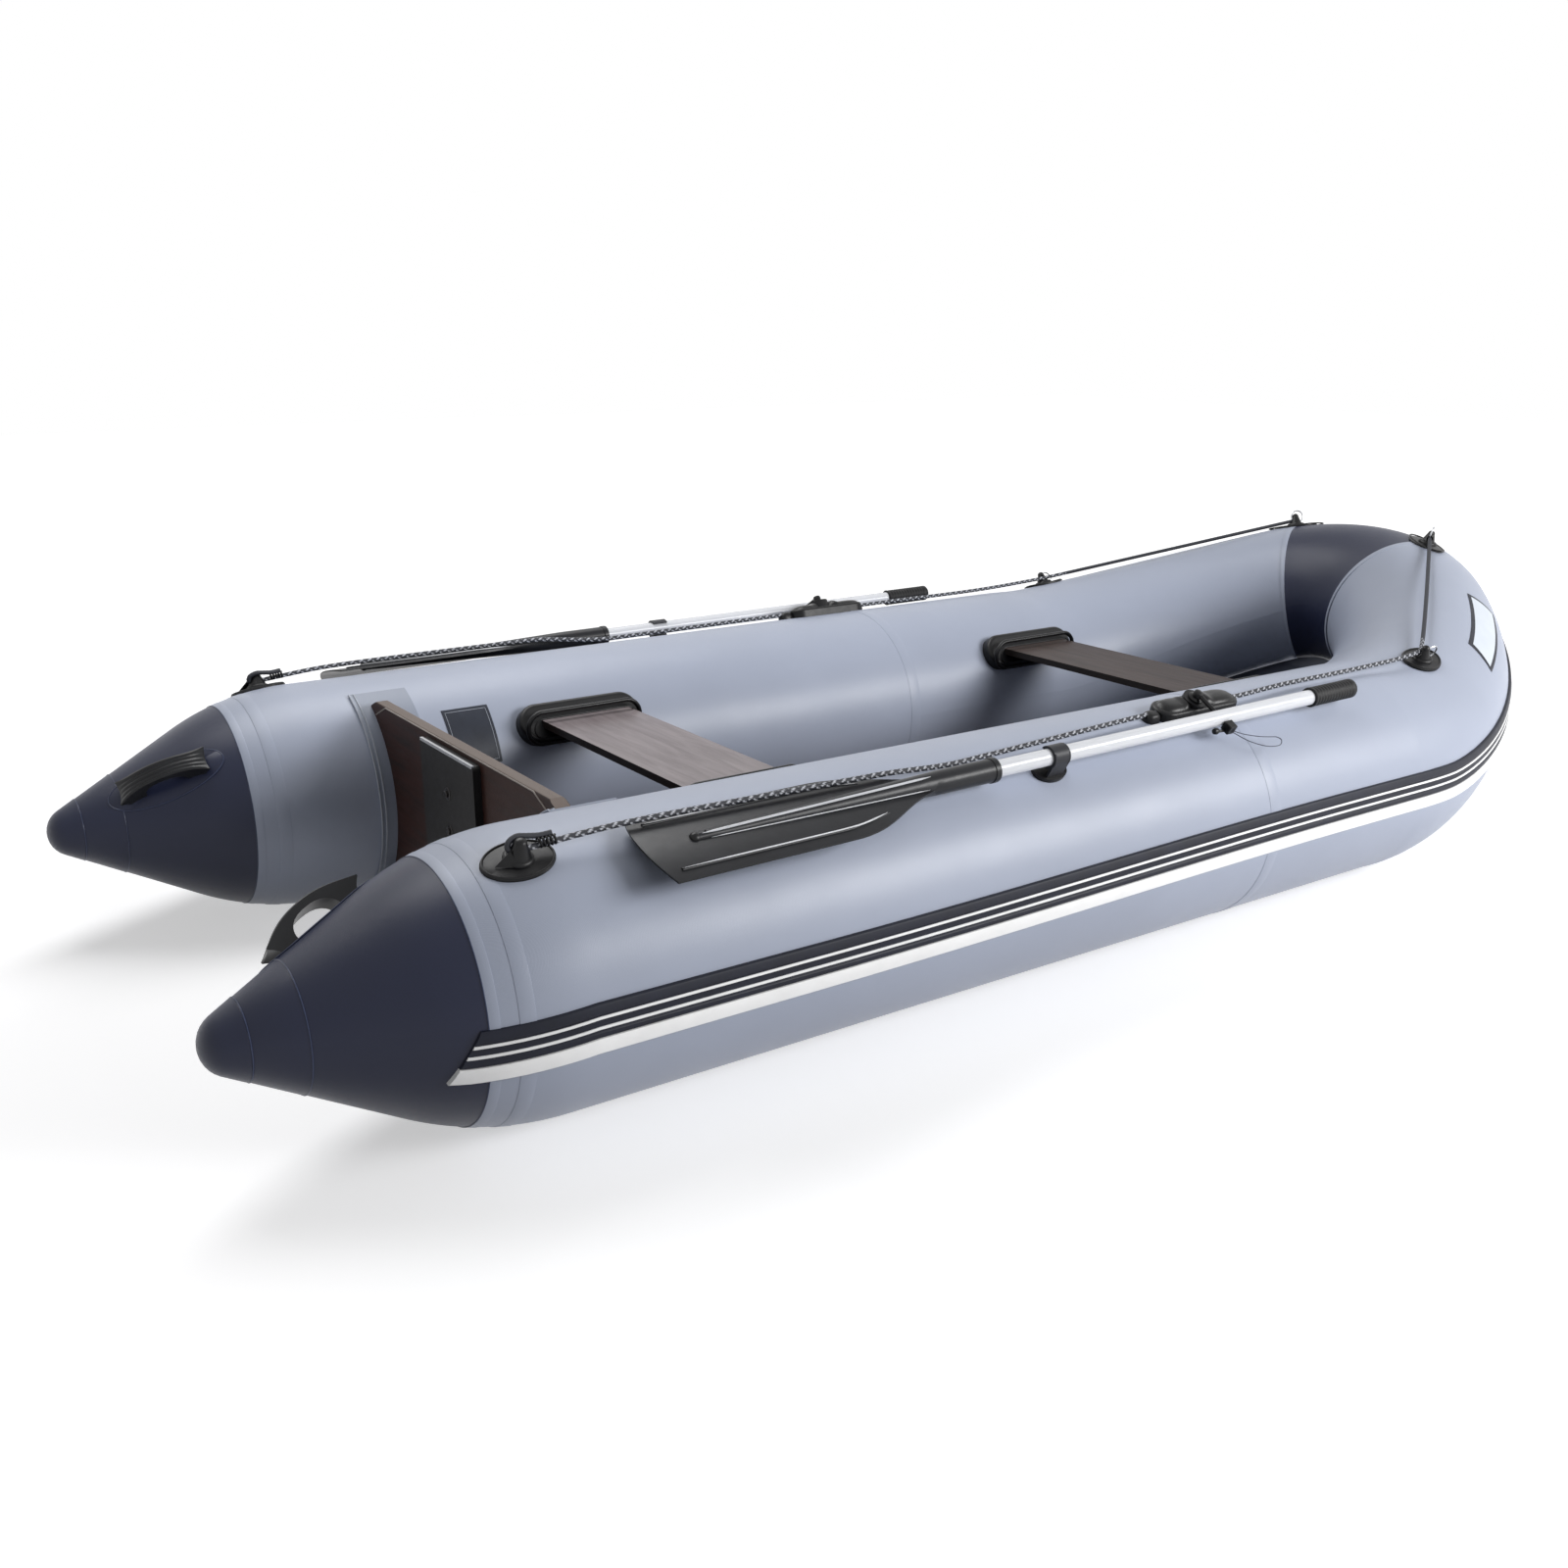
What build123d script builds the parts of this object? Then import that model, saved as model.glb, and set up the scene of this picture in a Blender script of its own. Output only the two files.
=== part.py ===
# Inflatable boat: two round side tubes with stern cones joined by a raised bow tube, a plywood
# transom, two plywood thwarts in moulded sockets, a floor, grab lines and a pair of stowed oars.
# Millimetres. +X runs forward, +Y to port and +Z up; the boat stands on its two tubes at z = 0
# and the origin is the middle of the overall box at that height.
from build123d import *
from math import acos, asin, atan2, cos, degrees, hypot, pi, radians, sin, sqrt
import os

os.makedirs("parts", exist_ok=True)

# ---------------------------------------------------------------- driving dimensions
TUBE_D = 420.0              # side tube diameter
TUBE_SPACING = 1010.0       # between the two side tube axes
BOW_D = 360.0               # tube diameter at the bow
STRAIGHT_LENGTH = 1923.0    # from the stern cone seam to where the tube starts to turn inward
QUARTER_RADIUS = 887.0      # plan radius of the long bow quarter
QUARTER_ANGLE = 47.6        # how far the quarter turns
RISE_START = 2000.0         # where the sheer starts to rise
BOW_RISE = 200.0            # lift of the tube axis at the stem
RISE_POWER = 1.5            # how late the sheer comes up
PANEL_SEAM = 1490.0         # weld seam between the aft and forward side panels
BOW_SEAM = 138.0            # half width of the dark bow panel

CONE_LENGTH = 313.0
CONE_SHOULDER_R = 120.0     # rounding between tube and cone
CONE_NOSE_R = 50.0

TRANSOM_X = 250.0           # aft face
TRANSOM_T = 25.0
TRANSOM_TOP = 403.0
TRANSOM_BOTTOM = 88.0
TRANSOM_TOP_HALF = 363.0
TRANSOM_CHAMFER = (52.0, 24.0)
HOLDER_T = 3.0              # fabric flange that carries the transom
HOLDER_AFT = 30.0           # how far the flange runs aft of the transom, and forward of it
HOLDER_FORE = 55.0
HOLDER_TOP_ANGLE = 112.0    # measured round the tube from its outboard side over the top
HOLDER_LOW_ANGLE = 228.0
MOTOR_PAD = (225.0, 240.0, 14.0)
MOTOR_PAD_DROP = 9.0        # below the transom's top edge
INNER_PAD = (225.0, 130.0, 5.0)

THWART_Z = 328.0
THWART_T = 14.0
THWART_WIDTH = 192.0
THWART_STATIONS = (654.0, 1856.0)
SOCKET_LENGTH = 262.0
SOCKET_HEIGHT = 80.0
SOCKET_PROUD = 26.0
SOCKET_ROUND = 9.0
SOCKET_ROOT = 30.0          # how far its back reaches behind the seat, to meet the round tube
SOCKET_AFT = 10.0           # how far the socket's middle stands aft of the plank's, and below it
SOCKET_DROP = 9.0
THWART_END_GAP = 4.0        # between the plank's end and the tube

FLOOR_T = 12.0
PANEL_GAP = 2.0
SKIN_T = 5.0
SKIN_ANGLE = 230.0          # where the bottom fabric meets the tube
FLOOR_PANEL_ENDS = (284.0, 690.0, 1096.0, 1502.0, 1908.0)
SKIN_EDGE_GAP = 1.6         # between the fabric's edge and the tube
SKIN_BOW_GAP = 30.0         # the bottom fabric ends this far short of the stem, along the tube
BOW_PANEL_TAPER = 40.0      # how much narrower the bow panel gets on each side

STRAKE_T = 6.0
STRAKE_ANGLES = (8.5, -4.4)         # dark band, from top to bottom
WHITE_ANGLES = (-4.6, -9.2)         # white band under it
WHITE_T = 7.0
STRAKE_LIFT = 1.2           # glue line under the strake

ROPE_D = 9.0
ROPE_LIFT = 6.5             # clear height of the line over the tube where it lies free
STERN_EYE = (98.0, 68.0)    # each eye's station along the tube and angle round it
SIDE_EYE = (2140.0, 71.0)
TOP_EYE = (2750.0, 78.0)
EYE_PAD = (104.0, 76.0, 4.0)
EYE_CONE = (18.0, 8.0, 34.0)        # the eye's foot radius, head radius and height
EYE_HOLE = 17.0             # height of its hole over the tube
EYE_GAP = 2.5               # play of the line in its eye
LINE_BEND = 400.0           # radius of the line's bends
EYE_BEND = 150.0            # and where it turns up toward the bow
BLADE_CROSSING = ((247.0, 67.5, 28.0), (700.0, 64.9, 31.0))     # station, angle and lift of the
                            # line where it comes over the oar's blade and where it leaves it
LINE_LANDING = (830.0, 67.6)        # where it is down on the tube again
LINE_AHEAD = ((1690.0, 77.5), (1900.0, 77.5))                   # forward of the rowlock

OAR_ANGLE = 57.9            # round the tube, at the rowlock
OAR_HEIGHT = 33.0           # shaft axis above the tube
OAR_TURN = 0.9              # the stowed grip points this much inboard
SHAFT_D = 28.0
OAR_TIP = 262.0             # the blade's corners; its rounded end reaches a little further aft
SLEEVE_START = 770.0
SHAFT_START = 878.0
SHAFT_SOCKET = 40.0         # the shaft's butt sits this far inside the sleeve
GRIP_CAP = 12.0             # closed end of the grip
GRIP_START = 1660.0
GRIP_END = 1780.0
GRIP_D = 34.0
SLEEVE_D = 38.0
BLADE_WIDTH = 148.0
BLADE_T = 3.0
BLADE_CROWN = 8.0           # the blade's middle stands this far above its edges
BLADE_TILT = -15.0          # turned about the shaft so that its inner edge lies toward the tube
BLADE_TIP_ROUND = 15.0      # how far the rounded end bulges past its corners
BLADE_SHOULDER = 560.0      # where the blade starts to narrow
SPINE_START = 330.0
SPINE_D = 15.0              # at the tip end; it widens to the sleeve
BEAD_D = 6.0                # stiffening beads along the blade
BEAD_OFFSET = 55.0          # from the blade's middle line
BEAD_START = 278.0
BEAD_END = 640.0
BEAD_TURN = 15.0            # how far its end turns in toward the middle line
BEAD_BEND_R = 120.0
BLADE_NECK = 15.0           # half width of the plate where it ends
BLADE_ROOT = 782.0          # inside the sleeve
PIVOT_X = 1413.0
PIVOT_OFFSET = 62.0         # the swivel stands this far inboard of the shaft
SWIVEL_D = 38.0
SWIVEL_ROUND = 7.0
SWIVEL_STAND = 22.0         # the swivel's underside over the tube, along its own axis
STUB_D = 12.0               # the swivel turns on this stub in the foot
STUB_LENGTH = 7.0
STUB_GAP = 0.05
PIN_D = 8.0                 # cross pin through the shaft
PIN_BLOCK = 18.0            # retaining block on the pin's outer end
FOOT_PLACE = (1424.0, 74.5)         # middle of the rowlock's foot: station and angle
FOOT_LENGTH = 200.0
FOOT_WIDTH = 56.0
FOOT_T = 19.0
FOOT_ROUND = 6.0
TUNNEL_GAP = 0.6
FOOT_ROOT = 14.0            # how far its edges reach down to meet the round tube
COLLAR = 3.0                # the foot's collar is this much wider all round than the swivel
CLIP_X = 1012.0
CLIP_WIDTH = 34.0
CLIP_T = 4.0
CLIP_FOOT = (68.0, 44.0)
CLIP_ANGLE = 55.0           # of its foot
CLIP_FOOT_T = 7.0

HANDLE_X = -133.0
HANDLE_ANGLE = 35.0         # above the horizontal, on the inner flank
HANDLE_LENGTH = 178.0
HANDLE_WIDTH = 31.0
HANDLE_T = 7.0
HANDLE_RISE = 36.0          # of its outer face over the cone
HANDLE_FOOT = 24.0
HANDLE_ROOT = 8.0           # its feet reach this far into the cone's surface before being cut to it

PLATE = (94.0, 118.0, 1.0)  # blank plate on the port tube: along it, round it, thickness
PLATE_PLACE = (423.0, 148.0)        # its middle: station and angle

FIT = 0.3                   # gap left between a curved face and the tube it lies on
SEAT_GAP = 0.8              # the same where that tube curves
RING_PITCH = 90.0           # between the sections that the curved tubes are lofted through
BOW_PITCH = 55.0            # and round the tighter stem

TUBE_R = TUBE_D / 2
BOW_R = BOW_D / 2
HALF_SPACING = TUBE_SPACING / 2
QUARTER = radians(QUARTER_ANGLE)
STEM_RADIUS = (HALF_SPACING - QUARTER_RADIUS * (1 - cos(QUARTER))) / cos(QUARTER)
STEM_X = STRAIGHT_LENGTH + QUARTER_RADIUS * sin(QUARTER) + STEM_RADIUS * (1 - sin(QUARTER))
QUARTER_END = STRAIGHT_LENGTH + QUARTER_RADIUS * QUARTER
CURVE_START = min(STRAIGHT_LENGTH, RISE_START)
STEM_D = QUARTER_END + STEM_RADIUS * (pi / 2 - QUARTER)
BOW_FRONT = STEM_X + BOW_R + FIT + WHITE_T
MID_X = (BOW_FRONT - CONE_LENGTH) / 2


# ---------------------------------------------------------------- the starboard tube's axis
def heading(d):
    """Plan heading of the axis at d along it, counted from the stern cone seam."""
    if d <= STRAIGHT_LENGTH:
        return 0.0
    if d <= QUARTER_END:
        return (d - STRAIGHT_LENGTH) / QUARTER_RADIUS
    return QUARTER + (d - QUARTER_END) / STEM_RADIUS


def plan(d):
    h = heading(d)
    if d <= STRAIGHT_LENGTH:
        return d, -HALF_SPACING
    if d <= QUARTER_END:
        return (STRAIGHT_LENGTH + QUARTER_RADIUS * sin(h),
                -HALF_SPACING + QUARTER_RADIUS * (1 - cos(h)))
    return STEM_X - STEM_RADIUS * (1 - sin(h)), -STEM_RADIUS * cos(h)


def rise(x):
    u = max(0.0, (x - RISE_START) / (STEM_X - RISE_START))
    return BOW_RISE * u ** RISE_POWER


def radius(d):
    """Tube radius, easing from the side tube to the bow."""
    u = min(1.0, max(0.0, (d - STRAIGHT_LENGTH) / (QUARTER_END - STRAIGHT_LENGTH)))
    return TUBE_R + (BOW_R - TUBE_R) * u * u * (3 - 2 * u)


def section(d):
    """Plane square to the axis at d: local x points inboard, local y up."""
    x, y = plan(d)
    h = heading(d)
    step = 1.0
    slope = (rise(x + step * cos(h)) - rise(x - step * cos(h))) / (2 * step)
    along = Vector(cos(h), sin(h), slope).normalized()
    inboard = Vector(-sin(h), cos(h), 0)
    return Plane(origin=(x, y, TUBE_R + rise(x)), x_dir=inboard, z_dir=along)


def on_tube(d, angle, lift=0.0):
    """Point over the tube at an angle round it, 0 outboard and 90 on top."""
    r = radius(d) + lift
    a = radians(angle)
    return section(d).from_local_coords(Vector(-r * cos(a), r * sin(a), 0))


def seat(d, angle, lift=0.0):
    """Plane lying on the tube: local x forward, local z out along the tube's normal."""
    frame = section(d)
    a = radians(angle)
    out = frame.x_dir * -cos(a) + frame.y_dir * sin(a)
    return Plane(origin=on_tube(d, angle, lift), x_dir=frame.z_dir, z_dir=out)


def stations(start, end, pitch):
    count = max(1, round((end - start) / pitch))
    return [start + (end - start) * i / count for i in range(count + 1)]


def tube(start, end, grow=0.0, pitch=RING_PITCH):
    """The solid tube between two stations, thickened by grow."""
    if end <= CURVE_START:
        return section(start) * extrude(Circle(TUBE_R + grow), end - start)
    if start < CURVE_START:
        return tube(start, CURVE_START, grow) + tube(CURVE_START, end, grow, pitch)
    return loft([section(d) * Circle(radius(d) + grow) for d in stations(start, end, pitch)])


def ring_sector(d, low, high, inner, outer):
    """Strip of a ring round the tube between two angles and two heights over the tube."""
    a, b, m = radians(low), radians(high), radians((low + high) / 2)
    r0, r1 = radius(d) + inner, radius(d) + outer
    at = lambda r, t: (-r * cos(t), r * sin(t))
    edge = [ThreePointArc(at(r0, a), at(r0, m), at(r0, b)), Line(at(r0, b), at(r1, b)),
            ThreePointArc(at(r1, b), at(r1, m), at(r1, a)), Line(at(r1, a), at(r0, a))]
    return make_face(edge)


def strip(start, end, low, high, inner, outer):
    """A band lying on the straight tube from one station to another."""
    return section(start) * extrude(ring_sector(start, low, high, inner, outer), end - start)


def starboard_and_port(name, solid):
    save(name + "_starboard", solid)
    save(name + "_port", solid.mirror(Plane.XZ))


def save(name, shape):
    """Write one node, moved so that the origin is the middle of the boat."""
    placed = Pos(-MID_X, 0, 0) * shape
    export_step(placed, f"parts/{name}.step")


# ---------------------------------------------------------------- hull
def cone_lean():
    """Direction, seen from the side, of the normal to the cone's straight flank."""
    run, drop = CONE_LENGTH - CONE_NOSE_R, TUBE_R - CONE_SHOULDER_R
    return atan2(drop, run) + acos((CONE_NOSE_R - CONE_SHOULDER_R) / hypot(run, drop))


def stern_cone(grow=0.0):
    """Solid of revolution: nose, straight flank and a shoulder tangent to the tube."""
    nose_r, shoulder_r, lean = CONE_NOSE_R + grow, CONE_SHOULDER_R + grow, cone_lean()
    tip, base_r = -CONE_LENGTH - grow, TUBE_R + grow
    shoulder, nose = Vector(0, TUBE_R - CONE_SHOULDER_R), Vector(-CONE_LENGTH + CONE_NOSE_R, 0)
    at = lambda centre, r, t: centre + Vector(r * cos(t), r * sin(t))
    outline = [
        Line((tip, 0), (0, 0)),
        Line((0, 0), (0, base_r)),
        ThreePointArc((0, base_r), at(shoulder, shoulder_r, (lean + pi / 2) / 2),
                      at(shoulder, shoulder_r, lean)),
        Line(at(shoulder, shoulder_r, lean), at(nose, nose_r, lean)),
        ThreePointArc(at(nose, nose_r, lean), at(nose, nose_r, (lean + pi) / 2), (tip, 0)),
    ]
    solid = revolve(make_face(outline), Axis.X)
    return Pos(0, -HALF_SPACING, TUBE_R) * solid


def bow_seam_station():
    """Station where the axis comes within BOW_SEAM of the middle."""
    low, high = STRAIGHT_LENGTH, STEM_D
    for _ in range(40):
        middle = (low + high) / 2
        low, high = (middle, high) if plan(middle)[1] < -BOW_SEAM else (low, middle)
    return low


SEAM_D = bow_seam_station()


def round_the_bow(make, start):
    """Loft through sections from a starboard station round the stem to the same one to port."""
    places = [start] if start >= SEAM_D else stations(start, SEAM_D, RING_PITCH)[:-1]
    places += stations(max(start, SEAM_D), STEM_D, BOW_PITCH)[0 if start < SEAM_D else 1:]
    half = [section(d) * make(d) for d in places]
    return loft(half + [ring.mirror(Plane.XZ) for ring in half[-2::-1]])


def hull():
    starboard_and_port("stern_cone", stern_cone())
    starboard_and_port("aft_tube", tube(0, PANEL_SEAM))
    starboard_and_port("forward_tube", tube(PANEL_SEAM, SEAM_D))
    save("bow_tube", round_the_bow(lambda d: Circle(radius(d)), SEAM_D))


# ---------------------------------------------------------------- rub strake
def strakes():
    for name, angles, proud in (("rub_strake", STRAKE_ANGLES, STRAKE_T),
                                ("rub_strake_white", WHITE_ANGLES, WHITE_T)):
        bow = round_the_bow(lambda d: ring_sector(d, *angles, STRAKE_LIFT, proud), CURVE_START)
        side = strip(0, CURVE_START, *angles, STRAKE_LIFT, proud)
        save(name, bow + side + side.mirror(Plane.XZ))


# ---------------------------------------------------------------- transom
def transom_outline(margin):
    """Board outline in the YZ plane, its flanks following the tubes at the given margin."""
    r = TUBE_R + margin
    edge_y = TRANSOM_TOP_HALF + TRANSOM_CHAMFER[0]
    edge_z = TRANSOM_TOP - TRANSOM_CHAMFER[1]
    board = make_face(Polyline((-edge_y, TRANSOM_BOTTOM), (edge_y, TRANSOM_BOTTOM), (edge_y, edge_z),
                               (TRANSOM_TOP_HALF, TRANSOM_TOP), (-TRANSOM_TOP_HALF, TRANSOM_TOP),
                               (-edge_y, edge_z), close=True))
    for side in (-1, 1):
        board -= Pos(side * HALF_SPACING, TUBE_R) * Circle(r)
    return board


def transom():
    upright = Plane(origin=(TRANSOM_X, 0, 0), x_dir=(0, 1, 0), z_dir=(1, 0, 0))
    board = upright * extrude(transom_outline(HOLDER_T + FIT), TRANSOM_T)
    save("transom", fillet(board.edges().filter_by(Axis.Y).group_by(Axis.Z)[-1], 4))

    width, height, thick = MOTOR_PAD
    top = TRANSOM_TOP - MOTOR_PAD_DROP
    outer = Pos(TRANSOM_X - thick / 2, 0, top - height / 2) * Box(thick, width, height)
    save("transom_motor_pad", fillet(outer.edges().filter_by(Axis.X), 8))
    width, height, thick = INNER_PAD
    inner = Pos(TRANSOM_X + TRANSOM_T + thick / 2, 0, top - height / 2) * Box(thick, width, height)
    save("transom_inner_pad", fillet(inner.edges().filter_by(Axis.X), 8))

    holder = strip(TRANSOM_X - HOLDER_AFT, TRANSOM_X + TRANSOM_T + HOLDER_FORE,
                   HOLDER_TOP_ANGLE, HOLDER_LOW_ANGLE, FIT, HOLDER_T)
    starboard_and_port("transom_holder", holder)


# ---------------------------------------------------------------- thwarts
def socket_seat(x):
    """Level plane on the tube's inner side, a little aft of the plank's middle and below it."""
    lift = THWART_Z - SOCKET_DROP - TUBE_R - rise(x)
    frame = seat(x - SOCKET_AFT, 180 - degrees(asin(lift / TUBE_R)))
    return Plane(origin=frame.origin, x_dir=(1, 0, 0), z_dir=frame.z_dir)


def thwart_half_length(x):
    r = radius(x)
    lift = THWART_Z - THWART_T / 2 - TUBE_R - rise(x)
    return -plan(x)[1] - sqrt(r * r - lift * lift) - THWART_END_GAP


def thwarts():
    for label, x in zip(("aft", "forward"), THWART_STATIONS):
        half = thwart_half_length(x + THWART_WIDTH / 2)
        plank = Pos(x, 0, THWART_Z) * Box(THWART_WIDTH, 2 * half, THWART_T)
        save(f"thwart_{label}", fillet(plank.edges().filter_by(Axis.Z), 12))
        outline = SlotOverall(SOCKET_LENGTH, SOCKET_HEIGHT)
        block = extrude(outline, SOCKET_PROUD)
        block = fillet(block.edges().group_by(Axis.Z)[-1], SOCKET_ROUND) + extrude(outline, -SOCKET_ROOT)
        slot = Pos(x, 0, THWART_Z) * Box(THWART_WIDTH + 2 * FIT, 2 * half + 2 * FIT, THWART_T + 2 * FIT)
        body = socket_seat(x) * block - slot - tube(x - SOCKET_LENGTH, x + SOCKET_LENGTH, SEAT_GAP)
        starboard_and_port(f"thwart_socket_{label}", body)


# ---------------------------------------------------------------- floor
def bottom():
    """Bottom fabric: level across, from the transom to the stem, its edges along the tubes."""
    def row(edge):
        across = Plane(origin=(edge.X, 0, edge.Z - SKIN_T / 2), x_dir=(0, 1, 0), z_dir=(1, 0, 0))
        return across * Rectangle(-2 * edge.Y, SKIN_T)

    places = [TRANSOM_X] + stations(STRAIGHT_LENGTH, STEM_D - SKIN_BOW_GAP, RING_PITCH)
    save("bottom_skin", loft([row(on_tube(d, SKIN_ANGLE, SKIN_EDGE_GAP)) for d in places], ruled=True))


def floor_panels():
    """Level boards side by side on the bottom fabric, the last one tapered toward the bow."""
    low = on_tube(TRANSOM_X, SKIN_ANGLE, SKIN_EDGE_GAP).Z + FIT
    drop = TUBE_R - low - FLOOR_T
    reach = TUBE_R + HOLDER_T + 2 * FIT
    wide = HALF_SPACING - sqrt(reach * reach - drop * drop)
    for i, (start, end) in enumerate(zip(FLOOR_PANEL_ENDS, FLOOR_PANEL_ENDS[1:])):
        a, b = start + PANEL_GAP / 2, end - PANEL_GAP / 2
        narrow = wide - (BOW_PANEL_TAPER if end == FLOOR_PANEL_ENDS[-1] else 0)
        board = make_face(Polyline((a, -wide), (b, -narrow), (b, narrow), (a, wide), close=True))
        save(f"floor_panel_{i + 1}", Pos(0, 0, low) * extrude(board, FLOOR_T))


# ---------------------------------------------------------------- line fittings and grab lines
def eye_fitting(d, angle, line_bore):
    """Oval rubber pad that follows the tube, with a moulded horn bored for the line."""
    length, width, thick = EYE_PAD
    foot_r, head_r, height = EYE_CONE
    near = lambda grow: tube(d - length, d + length, grow)
    pad = seat(d, angle) * extrude(Ellipse(length / 2, width / 2), width / 2, both=True)
    shaft = height - head_r
    horn = Pos(0, 0, shaft / 2) * Cone(foot_r, head_r, shaft) + Pos(0, 0, shaft) * Sphere(head_r)
    return (pad & near(thick)) + seat(d, angle) * horn - near(SEAT_GAP) - line_bore


def line_corners():
    """Corners of the grab line: over the blade, through the rowlock and out to the bow eyes."""
    low = ROPE_LIFT + ROPE_D / 2
    x, angle = FOOT_PLACE
    half = FOOT_LENGTH / 2 + ROPE_D
    low_places = [LINE_LANDING, (x - half, angle), (x + half, angle), *LINE_AHEAD]
    return ([on_tube(*STERN_EYE, EYE_HOLE)] + [on_tube(*place) for place in BLADE_CROSSING]
            + [on_tube(*place, low) for place in low_places]
            + [on_tube(*SIDE_EYE, EYE_HOLE), on_tube(*TOP_EYE, EYE_HOLE)])


def line_solid(line_r):
    corners = line_corners()
    path = FilletPolyline(*corners, radius=[LINE_BEND] * (len(corners) - 3) + [EYE_BEND])
    return sweep(Plane(origin=path @ 0, z_dir=path % 0) * Circle(line_r), path)


def lines():
    line_bore = line_solid(ROPE_D / 2 + EYE_GAP)
    for name, place in (("stern_line", STERN_EYE), ("bow_side", SIDE_EYE), ("bow_top", TOP_EYE)):
        starboard_and_port(name + "_fitting", eye_fitting(*place, line_bore))
    starboard_and_port("grab_line", line_solid(ROPE_D / 2))


# ---------------------------------------------------------------- oars, rowlocks and clips
def oar_plane():
    """Plane through the shaft's axis: local x toward the grip, y inboard over the tube, z out."""
    return Plane(seat(PIVOT_X, OAR_ANGLE, OAR_HEIGHT).location * Rot(0, 0, OAR_TURN))


def along_oar(x):
    return x - PIVOT_X


def lie(x):
    """Frame on the shaft's axis at a station along the boat, its z running forward."""
    return Pos(along_oar(x), 0, 0) * Rot(0, 90, 0)


def oars():
    place = oar_plane()
    butt, cap = SLEEVE_START + SHAFT_SOCKET, GRIP_END - GRIP_CAP
    shaft = lie(butt) * extrude(Circle(SHAFT_D / 2), cap - butt)
    shaft -= Rot(90, 0, 0) * extrude(Circle(PIN_D / 2 + FIT), SHAFT_D, both=True)
    starboard_and_port("oar_shaft", place * shaft)

    grip = fillet((lie(GRIP_START) * extrude(Circle(GRIP_D / 2), GRIP_END - GRIP_START)).edges(), 5)
    grip -= lie(GRIP_START) * extrude(Circle(SHAFT_D / 2), cap - GRIP_START)
    starboard_and_port("oar_grip", place * grip)
    starboard_and_port("oar_blade", place * blade())


def blade():
    """Dished plate under a tapered spine, with a stiffening bead along each half and a sleeve."""
    half, neck = BLADE_WIDTH / 2, BLADE_NECK
    tip, flare, root = along_oar(OAR_TIP), along_oar(BLADE_SHOULDER), along_oar(BLADE_ROOT)
    edge = Spline((flare, half), (root, neck), tangents=((1, 0), (1, 0)))
    outline = [Line((tip, half), (flare, half)), edge, Line((root, neck), (root, -neck)),
               edge.mirror(Plane.XZ), Line((flare, -half), (tip, -half)),
               ThreePointArc((tip, -half), (tip - BLADE_TIP_ROUND, 0), (tip, half))]
    plan_form = extrude(make_face(outline), BLADE_WIDTH / 2, both=True)

    across = lambda lift: ThreePointArc((-half - 2, lift - BLADE_CROWN), (0, lift), (half + 2, lift - BLADE_CROWN))
    low, high = across(-BLADE_T / 2), across(BLADE_T / 2)
    dish = make_face([low, Line(low @ 1, high @ 1), high, Line(high @ 0, low @ 0)])
    standing = Plane(origin=(tip - 2 * BLADE_TIP_ROUND, 0, 0), x_dir=(0, 1, 0), z_dir=(1, 0, 0))
    plate = standing * extrude(dish, root - tip + 2 * BLADE_TIP_ROUND) & plan_form

    start, bend, stop = along_oar(BEAD_START), along_oar(BLADE_SHOULDER), along_oar(BEAD_END)
    drop = -BLADE_CROWN * (BEAD_OFFSET / half) ** 2 + BLADE_T / 2
    for side in (1, -1):
        run = FilletPolyline((start, side * BEAD_OFFSET, drop), (bend, side * BEAD_OFFSET, drop),
                             (stop, side * (BEAD_OFFSET - BEAD_TURN), drop), radius=BEAD_BEND_R)
        plate += sweep(Plane(origin=run @ 0, z_dir=run % 0) * Circle(BEAD_D / 2), run)

    ends = [along_oar(x) for x in (SPINE_START, SLEEVE_START, SHAFT_START, SLEEVE_START + SHAFT_SOCKET)]
    profile = Polyline((ends[0], 0), (ends[0], SPINE_D / 2), (ends[1], SLEEVE_D / 2), (ends[2], SLEEVE_D / 2),
                       (ends[2], SHAFT_D / 2), (ends[3], SHAFT_D / 2), (ends[3], 0), close=True)
    return Rot(BLADE_TILT, 0, 0) * (plate + revolve(make_face(profile), Axis.X))


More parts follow.
